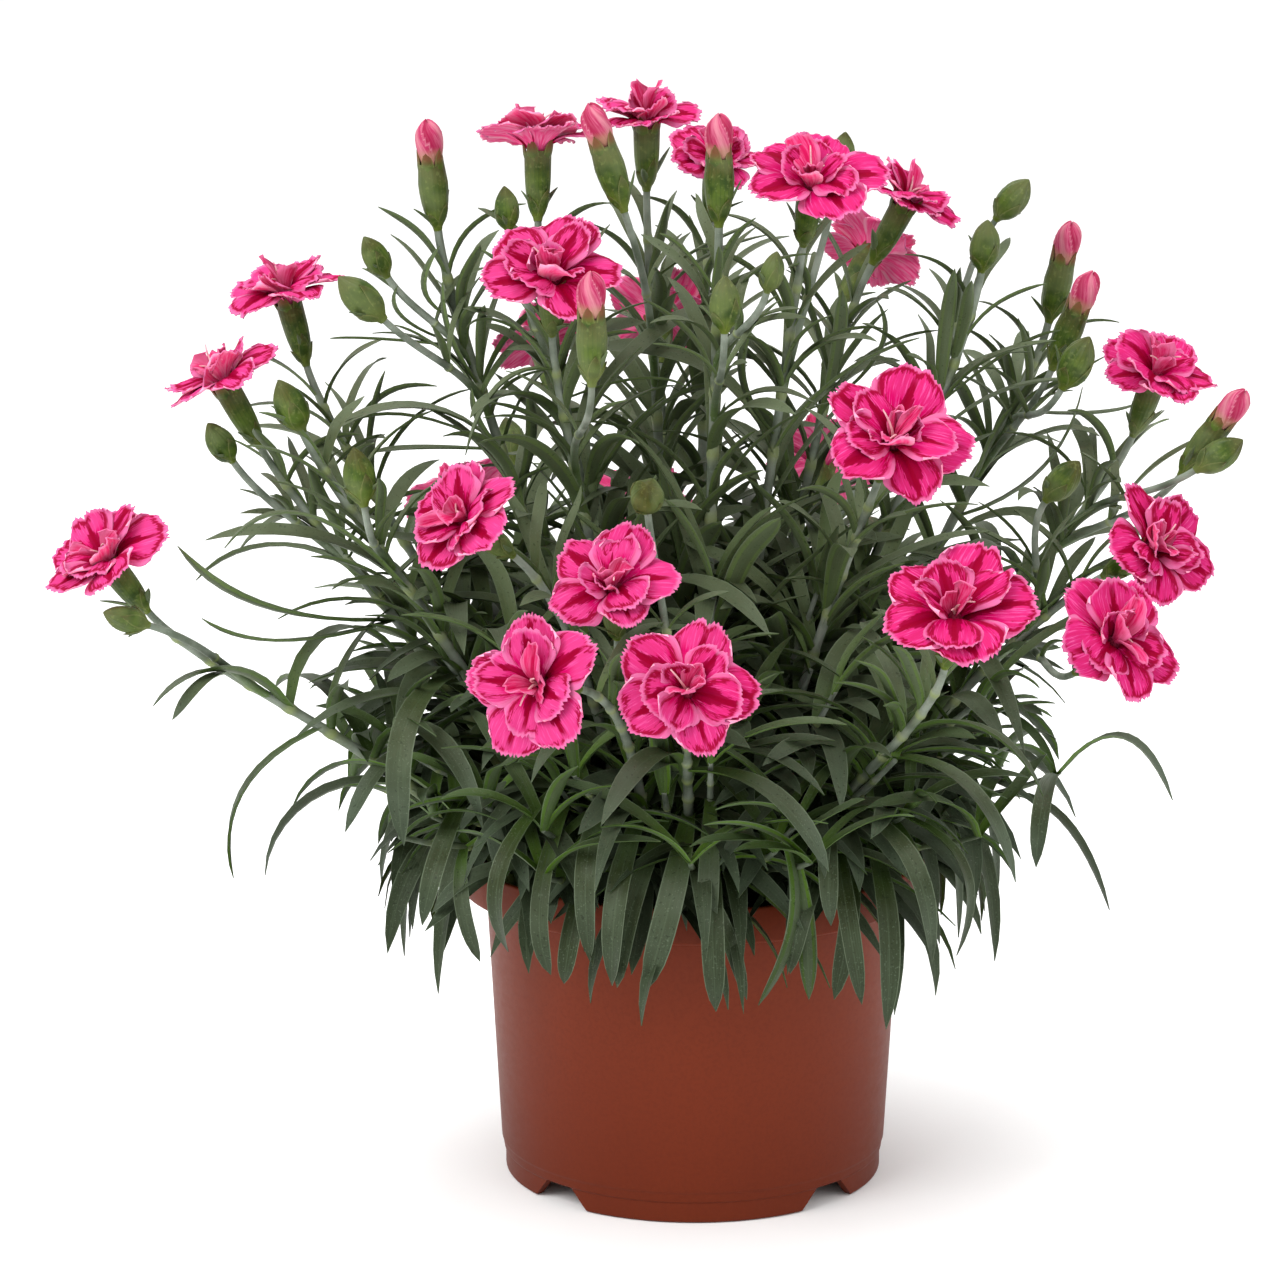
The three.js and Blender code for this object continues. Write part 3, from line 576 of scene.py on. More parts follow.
def petal(skin, stand, angle, key, k, slots, length, width, start, first, last, curl, ruffle, cup, lean,
          teeth, rows):
    """One petal: a narrow claw and a fan-shaped blade, ruffled, with small uneven teeth on its rim."""
    n = 2 * teeth + 1
    s = 1 - (1 - np.linspace(0, 1, rows)[:, None]) ** 1.25
    t = np.linspace(-1, 1, n)
    phase = [ROUND * draw(key, k, 40 + i) for i in range(5)]
    # the midline, bending outwards over the claw and drooping or curling at the rim
    bend = np.clip(CLAW_STEPS / 0.62, 0, 1)
    tilt = first + (last - first) * bend * bend * (3 - 2 * bend)
    tilt = np.radians(tilt - curl * np.clip((CLAW_STEPS - 0.62) / 0.38, 0, 1.2) ** 1.5)
    out = start[0] + np.cumsum(np.cos(tilt)) * length / 40.0
    up = start[1] + np.cumsum(np.sin(tilt)) * length / 40.0
    # the outline
    midrib = np.exp(-((t / 0.12) ** 2))
    rim = 1 - 0.28 * t**2 - 0.07 * np.abs(t) ** 6 - 0.035 * midrib
    rim = rim + 0.013 * np.cos(2 * math.pi * t + phase[0]) + 0.01 * np.cos(3.6 * math.pi * t + phase[1])
    notch = [0.0 if j % 2 else between(0.01, 0.06, key, k, j, 45) for j in range(n)]
    a = s * (1 - (1 - rim) * s) - np.where(s > 0.999, notch, 0)
    fan = 0.1 + 0.9 * np.sin(np.clip(s / 0.8, 0, 1) * math.pi / 2) ** 1.3
    fan = fan * (1 - 0.1 * np.clip((s - 0.8) / 0.2, 0, 1) ** 2)
    half = 0.5 * width * fan
    # how far the blade stands off its midline's own sheet
    wave = 0.62 * np.sin(4.4 * t + phase[2]) + 0.38 * np.sin(8.2 * t + phase[3])
    lift = ruffle * s**1.5 * wave + cup * t**2 * s * (1 - 0.3 * s) + lean * t * s
    lift = lift - 0.45 * midrib * np.sin(math.pi * s) ** 0.7
    lift = lift + 0.3 * np.clip((s - 0.75) / 0.25, 0, 1) * np.sin(17 * t + phase[4])
    x, z, tilt = (np.interp(a, CLAW_STEPS, value) for value in (out, up, tilt))
    top = np.stack([x - np.sin(tilt) * lift, half * t, z + np.cos(tilt) * lift], -1)
    # how far each point is in from the rim
    ahead, aside = (1 - s) * length * rim, (1 - np.abs(t)) * half + 12 * np.clip(0.4 - s, 0, 1)
    inset = -ROUNDING * np.log(np.exp(-ahead / ROUNDING) + np.exp(-aside / ROUNDING))
    skin.sheet(top, 0.42 - 0.14 * s + 0 * a, (a, t, draw(key, k, 50)), np.clip(inset / SLACK, 0, 1), slots,
               (stand[0] @ about_z(angle), stand[1]))


def bloom(name, head, key):
    """Five outer petals, a looser ring of inner ones, petaloids, two styles and the throat."""
    skin, stand, radius = Skin(), standing(head, CALYX_LENGTH), head[6]
    full = draw(key, 60)
    hand = 1 if draw(key, 59) > 0.5 else -1

    def pick(a, b, use):
        return between(a, b, key, k, use)

    for k in range(5):
        angle = math.radians(72 * k + pick(-5, 5, 1) + pick(-7, 7, 61))
        petal(skin, stand, angle, key, k, BLADE, length=radius * pick(1.0, 1.14, 62),
              width=radius * pick(0.76, 1.0, 63), start=(0.9, -1.2), first=pick(60, 68, 64),
              last=pick(-8, 12, 65), curl=pick(-12, 36, 66), ruffle=radius * pick(0.02, 0.045, 67),
              cup=pick(-1.8, 1.2, 68), lean=hand * pick(0.6, 2.0, 69), teeth=15, rows=12)
    for k in range(5 if full > 0.35 else 4):
        upright = pick(*((0.6, 1) if draw(key, k, 58) > 0.7 else (0, 0.32)), 70)
        angle = math.radians(72 * k + 36 + pick(-30, 30, 77))
        petal(skin, stand, angle, key, 10 + k, BLADE,
              length=radius * (1.0 - 0.36 * upright) * pick(0.82, 1.06, 71),
              width=radius * (0.86 - 0.3 * upright) * pick(0.76, 1.08, 72), start=(0.6, 0.0), first=76,
              last=6 + 56 * upright, curl=pick(-30, 40, 73), ruffle=radius * pick(0.03, 0.07, 74),
              cup=pick(-3.2, 1.6, 75) + 2 * upright, lean=hand * pick(-2.6, 3.6, 76), teeth=12, rows=10)
    for k in range(3 if full > 0.6 else 2):
        angle = math.radians(137.5 * k + 360 * draw(key, 90) + pick(-20, 20, 91))
        petal(skin, stand, angle, key, 20 + k, PETALOID, length=radius * pick(0.46, 0.84, 84),
              width=radius * pick(0.18, 0.5, 85), start=(0.3, 1.0), first=86, last=pick(20, 76, 86),
              curl=pick(-30, 50, 87), ruffle=radius * 0.05, cup=pick(0.8, 3.2, 88),
              lean=pick(-2.5, 2.5, 89), teeth=5, rows=9)
    for k in range(2):
        a = ROUND * (draw(key, 83) + 0.3 * k)
        out = np.array([math.cos(a), math.sin(a), 0])
        curve = arc(0.3 * out + [0, 0, 3.5], unit(0.1 * out + [0, 0, 1]),
                    direction(math.degrees(a), pick(5, 40, 84)), radius * pick(0.25, 0.6, 92))
        line = bezier(curve, np.linspace(0, 1, 10))
        tube(skin, line @ stand[0].T + stand[1], np.linspace(0.42, 0.2, 10), 6, 0.5, np.full(10, 0.5),
             STYLE_SLOT)
    round_body(skin, stand, THROAT_HEIGHTS, THROAT_RADII, 16, 0.3, 0.2, THROAT_SLOT, 5, 0.08)
    piece = skin.make(name + "_fine", PETAL_SKINS, 62)
    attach(piece, "root")
    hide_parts(name)


TIP_HEIGHTS = [-2.5, -1, 0.5, 2, 3.5, 5, 6.5, 8, 9.2, 10.2, 10.9, 11.3, 11.4]
TIP_RADII = [0.8, 2.4, 2.95, 3.35, 3.65, 3.8, 3.8, 3.6, 3.15, 2.4, 1.6, 0.8, 0.2]


def bud_tip(name, head, key):
    """The rolled petals of an opening bud, wound round each other, blunt at the end."""
    skin, sides = Skin(), 45
    heights, radii = np.array(TIP_HEIGHTS)[:, None], np.array(TIP_RADII)[:, None]
    angle = turns(sides)
    roll = (angle * 3 / (2 * math.pi) + heights * 0.05 + draw(key, 94)) % 1
    r = radii * (0.86 + 0.2 * roll**0.8 - 0.16 * np.clip((roll - 0.9) / 0.1, 0, 1))
    ragged = 0.5 * np.sin(3 * angle + 2) * np.clip((heights - 7) / 4, 0, 1)
    skin.loft(circle(r, heights + ragged, sides), (heights / 11.5, roll * 2 - 1, draw(key, 95)), 0, 0,
              standing(head, CALYX_LENGTH))
    piece = skin.make(name + "_fine", [BUD_PETAL], 50)
    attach(piece, "root")
    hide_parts(name)


# ---------------- materials


def linear(code):
    rgb = [int(code[i : i + 2], 16) / 255 for i in (0, 2, 4)]
    return tuple(c / 12.92 if c <= 0.04045 else ((c + 0.055) / 1.055) ** 2.4 for c in rgb) + (1.0,)


class Value:
    """A node's output, so that sums of them can be written as plain sums."""

    def __init__(self, graph, socket):
        self.graph, self.socket = graph, socket

    def __add__(self, other):
        return self.graph.math("ADD", self, other)

    def __sub__(self, other):
        return self.graph.math("SUBTRACT", self, other)

    def __rsub__(self, other):
        return self.graph.math("SUBTRACT", other, self)

    def __mul__(self, other):
        return self.graph.math("MULTIPLY", self, other)

    def __abs__(self):
        return self.graph.math("ABSOLUTE", self)

    def step(self, start, end, high=1.0, low=0.0):
        """Eased from low to high as the value goes from start to end."""
        inputs = dict(enumerate((self, start, end, low, high)))
        return self.graph.node("ShaderNodeMapRange", 0, inputs, interpolation_type="SMOOTHSTEP")


class Graph:
    """A material's nodes, and the colour that it is painted with layer by layer."""

    def __init__(self, name, roughness, specular):
        self.material = bpy.data.materials.new(name)
        self.material.use_nodes = True
        self.tree = self.material.node_tree
        self.shader = self.tree.nodes["Principled BSDF"]
        self.put(self.shader.inputs["Roughness"], roughness)
        self.put(self.shader.inputs["Specular IOR Level"], specular)

    def put(self, socket, value):
        if isinstance(value, Value):
            self.tree.links.new(value.socket, socket)
        else:
            socket.default_value = linear(value) if isinstance(value, str) else value

    def node(self, kind, output, inputs, **settings):
        """A new node's output, by its name or number. Its inputs are set by theirs."""
        made = self.tree.nodes.new(kind)
        for key, value in settings.items():
            setattr(made, key, value)
        for key, value in inputs.items():
            self.put(made.inputs[key], value)
        return Value(self, made.outputs[output])

    def math(self, operation, *values, clamp=False):
        return self.node("ShaderNodeMath", 0, dict(enumerate(values)), operation=operation, use_clamp=clamp)

    def mix(self, share, a, b):
        return self.node("ShaderNodeMix", 2, {0: share, 6: a, 7: b}, data_type="RGBA")

    def layer(self, share, code):
        """Paints a colour over what is there, by its share."""
        self.colour = self.mix(share, self.colour, code)

    def place(self):
        return self.node("ShaderNodeTexCoord", "Object", {})

    def axis(self, number, vector=None):
        return self.node("ShaderNodeSeparateXYZ", number, {0: vector or self.place()})

    def vector(self, *parts):
        return self.node("ShaderNodeCombineXYZ", 0, dict(enumerate(parts)))

    def grain(self):
        """The share along, the place across and the seed that a skin's points hold."""
        vector = self.node("ShaderNodeAttribute", "Vector", {}, attribute_name="grain")
        return [self.axis(number, vector) for number in range(3)]

    def tone(self):
        return self.node("ShaderNodeAttribute", "Fac", {}, attribute_name="tone")

    def noise(self, scale, detail=2.0, rough=0.5, vector=None):
        inputs = {"Vector": vector or self.place(), "Scale": scale, "Detail": detail, "Roughness": rough}
        return self.node("ShaderNodeTexNoise", "Fac", inputs)

    def streaks(self, across, along, key, fine, long, detail=3.0):
        """Noise drawn out along a petal."""
        return self.noise(1.0, detail, 0.6, self.vector(across * fine, along * long, key))

    def finish(self, roughness=None, bump=None, strength=0.0, distance=0.0):
        self.put(self.shader.inputs["Base Color"], self.colour)
        if roughness is not None:
            self.put(self.shader.inputs["Roughness"], roughness)
        if bump is not None:
            inputs = {"Strength": strength, "Distance": distance, "Height": bump}
            self.put(self.shader.inputs["Normal"], self.node("ShaderNodeBump", 0, inputs))
        return self.material


def leaf_material():
    """Glaucous, fresh green at the foot, with a pale midrib and margin; painted light makes the higher
    leaves lighter, and painted shade darkens those low in the mound.
    """
    g = Graph("leaf_skin", 0.5, 0.16)
    (along, across, seed), tone = g.grain(), g.tone()
    under = tone.step(1.4, 1.6)
    young = tone - under * UNDERSIDE_TONE
    fine = g.noise(1.0, 3, vector=g.vector(across * 9.0, along * 5.0, seed * 37.0))
    glaucous = g.mix((g.noise(55, 3) + seed * 0.22).step(0.36, 0.8), "262E12", "48523E")
    glaucous = g.mix(along.step(0.45, 1.0, 0.35), glaucous, "3C4B40")
    foot = (along + fine * 0.2).step(0.6, 0.1)
    fresh = g.math("ADD", foot * 0.7, young, clamp=True)
    g.colour = g.mix(fresh, glaucous, g.mix(seed, "2C4606", "4A6A12"))
    height, side = g.axis(2), abs(across)
    # painted light: the higher leaves are made lighter
    g.layer(height.step(0.11, 0.2, 0.5), "687252")
    # painted shade: the leaves low in the mound and over the collar are made darker
    g.layer(height.step(0.105, 0.08, 0.65), "1E280E")
    g.layer(fine.step(0.45, 0.75, 0.2), "53634C")
    g.layer(side.step(0.1, 0.0, 0.22), "56654C")
    g.layer(side.step(0.88, 0.98, 0.42), "74826A")
    g.layer(g.noise(1900, 1).step(0.62, 0.74, 0.3), "6C7A64")
    g.layer(g.noise(1100, 1).step(0.36, 0.26, 0.5), "171E10")
    g.layer(under * 0.35, "445436")
    return g.finish(fine.step(0.2, 0.8, 0.6, low=0.42), fine, 0.35, 0.0002)


def stem_material():
    """Pale grey-green, greener at the foot, with painted shade that darkens it low in the mound, and
    yellow-green joints.
    """
    g = Graph("stem_skin", 0.5, 0.16)
    along, cloud, dots = g.grain()[0], g.noise(120, 3), g.noise(1500, 2)
    g.colour = g.mix(cloud.step(0.3, 0.7), "5A6455", "889184")
    g.layer(along.step(0.45, 0.0, 0.8), "4A6420")
    # painted shade: the stems are made darker low in the mound
    g.layer(g.axis(2).step(0.13, 0.1, 0.75), "2C3A18")
    g.layer(g.math("MULTIPLY", g.tone(), 0.6, clamp=True), "8A9852")
    g.layer(dots.step(0.6, 0.72, 0.3), "8E9A8C")
    return g.finish(cloud.step(0.2, 0.8, 0.6, low=0.42), dots, 0.15, 0.0001)


def calyx_material():
    """Green with fine veins and a pale bloom, yellower at the foot, with brown tips to the teeth."""
    g = Graph("calyx_skin", 0.45, 0.14)
    (along, across, _), tone = g.grain(), g.tone()
    veins = g.math("SINE", across * 62.8)
    cloud = g.noise(260, 3)
    tooth = tone.step(0.6, 0.9)
    g.colour = g.mix(cloud.step(0.32, 0.7), "2A3C10", "4A5E1E")
    g.layer(along.step(0.42, 0.12, 0.6) * (1.0 - tooth), "66742A")
    g.layer((cloud * 0.7 + along - tooth * 0.3).step(0.95, 1.3, 0.65), "44381E")
    g.layer(veins.step(0.4, 1.0, 0.3), "263E15")
    g.layer(g.noise(90, 2).step(0.42, 0.62, 0.5), "606A42")
    g.layer(g.noise(900, 3).step(0.55, 0.7, 0.35), "727C46")
    g.layer(g.math("MULTIPLY", along.step(0.2, 0.7), tooth, clamp=True) * 0.85, "6C3E2A")
    g.layer(abs(across).step(0.72, 1.0) * tone.step(0.3, 0.5) * 0.3, "8A8C58")
    return g.finish(cloud.step(0.2, 0.8, 0.56, low=0.38), veins, 0.2, 0.00012)


def petal_material():
    """Hot pink in pale streaks, a crimson flame forked by the midline, crimson dashes inside a pale rim,
    and painted light that makes the pale wash stronger on the blooms to the left.
    """
    g = Graph("petal_skin", 0.7, 0.02)
    (along, across, seed), inset = g.grain(), g.tone()
    key, side = seed * 53.0, abs(across)
    rays = g.streaks(across, along, key, 24.0, 3.4, 4)
    fray = g.streaks(across, along, key + 21.0, 15.0, 5.0) - 0.5
    broad = g.streaks(across, along, key + 9.0, 2.3, 1.6, 2)
    lot = g.noise(13, 1).step(0.38, 0.62)  # how strongly this bloom is marked
    g.colour = g.mix(rays.step(0.38, 0.66), "B40450", "BC1266")
    g.layer(rays.step(0.54, 0.68, 0.8), "D25A92")
    # the pale wash over the petals' outer part is their own colour; it is made stronger to the left as
    # painted light
    pale = (g.axis(0) + seed * 0.03).step(0.05, -0.02, 0.52, low=0.22)
    g.layer((along + broad * 0.5).step(0.68, 0.88) * pale, "CC4A88")
    # the flame: up the middle to half way, and short on both sides of it
    flame = along + side * 1.25 + fray * 0.6 - seed * 0.24
    g.layer(flame.step(0.75, 0.71, 0.95), "84002A")
    ray = (side + fray * 0.08).step(0.1, 0.065) * along.step(0.94, 0.74)
    g.layer(ray * 0.88, "820024")
    # dashes inside the rim, on some stretches of it
    outer = (inset + fray * 0.3).step(0.2, 0.27)
    inner = (inset + fray * 1.3 - lot * 0.08).step(0.48, 0.38)
    stretch = (broad + fray * 0.5 + lot * 0.16).step(0.51, 0.57)
    g.layer(outer * inner * stretch * 0.92, "880428")
    lip = (inset + fray * 0.25).step(0.31, 0.08)
    g.layer(lip * 0.68, "CE74A0")
    return g.finish(rays.step(0.2, 0.8, 0.7, low=0.52), rays, 0.25, 0.0001)


def plain_petal(name, dark, light, rim, rim_share=0.55):
    """A streaked petal colour with a paler rim."""
    g = Graph(name, 0.68, 0.03)
    along, across, seed = g.grain()
    rays = g.streaks(across, along, seed * 53.0, 9.0, 2.6, 4)
    g.colour = g.mix(rays.step(0.36, 0.66), dark, light)
    g.layer(g.tone().step(0.2, 0.04, rim_share), rim)
    return g.finish(rays.step(0.2, 0.8, 0.66, low=0.48), rays, 0.3, 0.0002)


def bud_petal_material():
    """Rolled petals: painted shade where each goes under the next, and greenish down in the calyx."""
    g = Graph("bud_petal_skin", 0.55, 0.08)
    along, across, seed = g.grain()
    rays = g.streaks(across, along, seed * 53.0, 7.0, 2.2, 4)
    g.colour = g.mix(rays.step(0.34, 0.66), "A02450", "BE5E7A")
    # painted shade where each petal goes under the next
    g.layer(across.step(0.2, -0.9, 0.8), "8E0C38")
    g.layer(abs(across - 0.3).step(0.4, 0.0, 0.5), "C48890")
    g.layer(along.step(0.42, 0.16, 0.6), "9A8462")
    return g.finish(rays.step(0.2, 0.8, 0.6, low=0.42), rays, 0.3, 0.0002)


def pot_material():
    """Terracotta-brown plastic with faint scratches round it, and painted light that makes it lighter
    towards the top.
    """
    g = Graph("pot_plastic", 0.46, 0.13)
    cloud, fine = g.noise(14, 3), g.noise(900, 3, 0.6)
    drawn_out = g.node("ShaderNodeMapping", 0, {"Scale": (260, 260, 500), "Vector": g.place()})
    scratch = g.noise(1.0, 4, 0.7, drawn_out)
    g.colour = g.mix(cloud.step(0.35, 0.65), "5A1F0A", "60220B")
    # painted light: the pot is made lighter towards the top
    g.layer(g.axis(2).step(0.0, 0.08, 0.6), "742E16")
    g.layer(fine.step(0.35, 0.75, 0.3), "501A08")
    g.layer(scratch.step(0.62, 0.75, 0.08), "7C4432")
    rough = scratch.step(0.3, 0.7, 0.49, low=0.43) + cloud * 0.06
    return g.finish(rough, fine + scratch * 0.2, 0.05, 0.0001)


def peat_material():
    g = Graph("peat", 0.95, 0.15)
    cloud, grit = g.noise(180, 5, 0.65), g.noise(900, 4, 0.7)
    g.colour = g.mix(cloud.step(0.35, 0.7), "170F0A", "382618")
    g.layer(grit.step(0.62, 0.72, 0.6), "644C32")
    return g.finish(cloud.step(0.2, 0.8, 1.0, low=0.88), grit, 0.8, 0.001)


def floor_material():
    g = Graph("pale_floor", 0.8, 0.1)
    g.colour = g.mix(g.noise(3, 2), "FCFCFC", "F9F9F8")
    return g.finish()


GREENS = [stem_material(), leaf_material(), calyx_material()]
PETAL_SKINS = [
    petal_material(),
    # the undersides' own paler pink, painted brighter still as painted light shining through the petals
    plain_petal("petal_back_painted_light", "EE3E82", "F480AC", "F2B4CA"),
    plain_petal("petaloid_skin", "BC1250", "D04E80", "D67CA4", 0.5),
    plain_petal("style_skin", "C98898", "DDB4B2", "DDB4B2"),
    plain_petal("throat_skin", "5E0A22", "8A2A44", "8A2A44"),
]
BUD_PETAL = bud_petal_material()

# ---------------- stems with their leaves

SKINS = [Skin() for _ in STEMS]
ROOTS = np.array([main_curve(heads[0])[0][:2] for heads in STEMS])
JOINTS = []  # places along every stem and shoot, each with the number of the stem that it belongs to
STEM_FOOT, STEM_NECK, STEM_NECK_GREEN = 1.65, 0.98, 1.12  # radii
BRANCH_FOOT, BRANCH_NECK = 1.15, 0.92
SHOOT_FOOT, SHOOT_NECK = 1.35, 0.7
UPPER_JOINTS = [0.33, 0.49, 0.67, 0.77, 0.87]
SHOOT_JOINTS = [0.16, 0.33, 0.5, 0.67, 0.83]


def stalk(skin, curve, foot, neck, joints, steps=26, sides=10):
    """A stem that thins from its foot to its neck and swells at its joints."""
    close = [joint + off for joint in joints for off in (-0.012, -0.003, 0.006, 0.014)]
    t = np.unique(np.concatenate([np.linspace(0, 1, steps), close]))
    t = t[(t >= 0) & (t <= 1)]
    swell = np.exp(-(((t[:, None] - joints) / 0.011) ** 2)).max(1)
    radii = (foot + (neck - foot) * t) * (1 + 0.34 * swell)
    tube(skin, bezier(curve, t), radii, sides, 0, swell, STEM_SLOT)


def pair(skin, curve, share, turn, length, half, start, finish, keys, young=0.0, only=None, ragged=0.0):
    """Two leaves across from each other at a joint of a stem, or one of them. Each gets five tries
    to be free. `start` and `finish` are its elevations."""
    base, along = bezier(curve, share), slope(curve, share)

    def pick(a, b, use):
        return between(a, b, *keys, side, use)

    for side in (0, 1) if only is None else (only,):
        azimuth = turn + 180 * side + pick(-22, 22, 1)
        loose = 1 - ragged * pick(0, 1, 11) ** 1.5
        for attempt, shift in enumerate((0, 17, -17, 34, -34)):
            lift = start + pick(-10, 10, 2) + 3 * attempt
            drop = finish + pick(-22, 22, 3) + 5 * attempt
            long = length * pick(0.82, 1.15, 4) * (1 - 0.05 * attempt)
            out = unit(direction(azimuth + shift, min(lift, 86)) + 0.35 * along)
            end = direction(azimuth + shift + pick(-38, 38, 5), max(drop, -89))
            line = clear_of_pot(arc(base, out, end, long))
            if line is not None and free(line, half, loose):
                leaf(skin, line, half * pick(0.85, 1.12, 6), math.radians(pick(-45, 45, 7)),
                     pick(0.18, 0.5, 8), pick(0, 1, 9), young, wave=pick(0, 1.2, 10))
                break


TIP_FOUND = 0.06  # how near a leaf's tip is to one of the part's points when it is the part's own
TRIES = 9


def large_leaves(skin, number, main, erect):
    """The part's own leaves, each found by its tip among the part's points, and one across from most."""
    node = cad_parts[f"leafy_stem_{number + 1:02d}"]
    vertices = np.array([v.co for v in node.data.vertices]) / MM - POT_AXIS
    for place, row in enumerate(LEAF_PLACES):
        tries = (part_leaf_curve(number, place, attempt, main) for attempt in range(TRIES))
        found = (c for c in tries if np.linalg.norm(vertices - c[3], axis=1).min() <= TIP_FOUND)
        curve = next(found, None)
        if curve is None:
            continue
        curve = swung(curve, SWING.get((number, place), 0))
        twist = math.radians(between(-30, 30, number, place, 6))
        leaf(skin, curve, between(2.9, 3.6, number, place, 7), twist,
             between(0.2, 0.45, number, place, 210), draw(number, place, 211), 0.0)
        if place not in (3, 4):  # those two are a pair already
            pair(skin, main, row[0], heading(slope(curve, 0.0)), 62, 3.1, 48 + 22 * erect,
                 -40 + 50 * erect, (number, place, 212), only=1)


def leafy_stem(number, heads):
    """A flowering stem, its branches and leaves, and its calyces and green buds."""
    skin, main, end = SKINS[number], main_curve(heads[0]), head_base(heads[0])
    neck = STEM_NECK if heads[0][0] == "bloom" else STEM_NECK_GREEN
    stalk(skin, main, STEM_FOOT, neck, [row[0] for row in LEAF_PLACES] + UPPER_JOINTS)
    JOINTS.extend([*bezier(main, t), number] for t in np.linspace(0.05, 0.95, 40))
    outwards, erect = heading(end), uprightness(end)
    large_leaves(skin, number, main, erect)
    for i, share in enumerate(UPPER_JOINTS):
        small = (share - 0.3) / 0.6
        turn = outwards + 90 * (i % 2)
        pair(skin, main, share, turn + between(-30, 30, number, i, 220), 60 - 32 * small,
             3.1 - 1.45 * small, 50 + 14 * small + 12 * erect, -30 + 40 * small + 15 * erect,
             (number, i, 221))
        if i < 4:
            pair(skin, main, share + 0.004, turn + 90, 46 - 16 * small, 2.1 - 0.8 * small, 66,
                 15 + 15 * erect, (number, i, 222), young=0.12)
    for i, head in enumerate(heads[1:], 1):
        branch, turn = branch_curve(main, head, i), outwards + 90 * (i % 2)
        stalk(skin, branch, BRANCH_FOOT, BRANCH_NECK, [0.5], steps=16)
        pair(skin, branch, 0.5, turn, 25, 1.3, 55, 10, (number, i, 231))
        pair(skin, branch, 0.18, turn + 90, 34, 1.8, 60, 5, (number, i, 232))
    for i, head in enumerate(heads):
        body = green_bud if head[0] == "green" else calyx
        body(skin, head, 10 * number + i)


SHOOTS = 84
GOLDEN_ANGLE = 137.508


def shoot(i):
    """A short stem that doesn't flower, one of those that make the dense mound and its fringe over
    the rim. It belongs to the flowering stem whose foot is nearest."""
    q = math.sqrt((i + 0.5) / SHOOTS)
    azimuth = GOLDEN_ANGLE * i + between(-14, 14, i, 300)
    root = direction(azimuth, 0) * (4 + 30 * q) + np.array([0, 0, SOIL_TOP - 2])
    number = int(np.hypot(*(ROOTS - root[:2]).T).argmin())
    skin = SKINS[number]
    lean = 12 + 54 * q**1.3 + between(-9, 9, i, 301)
    tall = (96 - 32 * q) * between(0.82, 1.14, i, 302)
    way = direction(azimuth + between(-12, 12, i, 303), 90 - lean)
    tip = root + way * tall
    curve = [root, root + unit(way + [0, 0, 0.9]) * 0.38 * tall, tip - way * 0.3 * tall, tip]
    stalk(skin, curve, SHOOT_FOOT, SHOOT_NECK, SHOOT_JOINTS, steps=10, sides=8)
    JOINTS.extend([*bezier(curve, t), number] for t in np.linspace(0.1, 1, 24))
    for k, share in enumerate(SHOOT_JOINTS):
        turn = azimuth + (90 if k % 2 else 0) + between(-25, 25, i, k, 305)
        long = (74 - 5 * k) * between(0.88, 1.12, i, k, 306)
        start = 74 - 0.75 * lean + between(-8, 8, i, k, 307)
        finish = 12 - 1.35 * lean - 6 * (2 - k) + between(-15, 15, i, k, 308)
        half = between(2.7, 3.5, i, k, 309)
        pair(skin, curve, share, turn, long, half, start, finish, (i, k, 310), ragged=0.8)
    for k in range(2):  # the young leaves at its tip
        pair(skin, curve, 0.985, azimuth + 90 * k + 45, 46 - 12 * k, 2.4 - 0.5 * k, 80 - 0.6 * lean,
             35 - 0.8 * lean, (i, k, 311), young=0.2 + 0.25 * k)


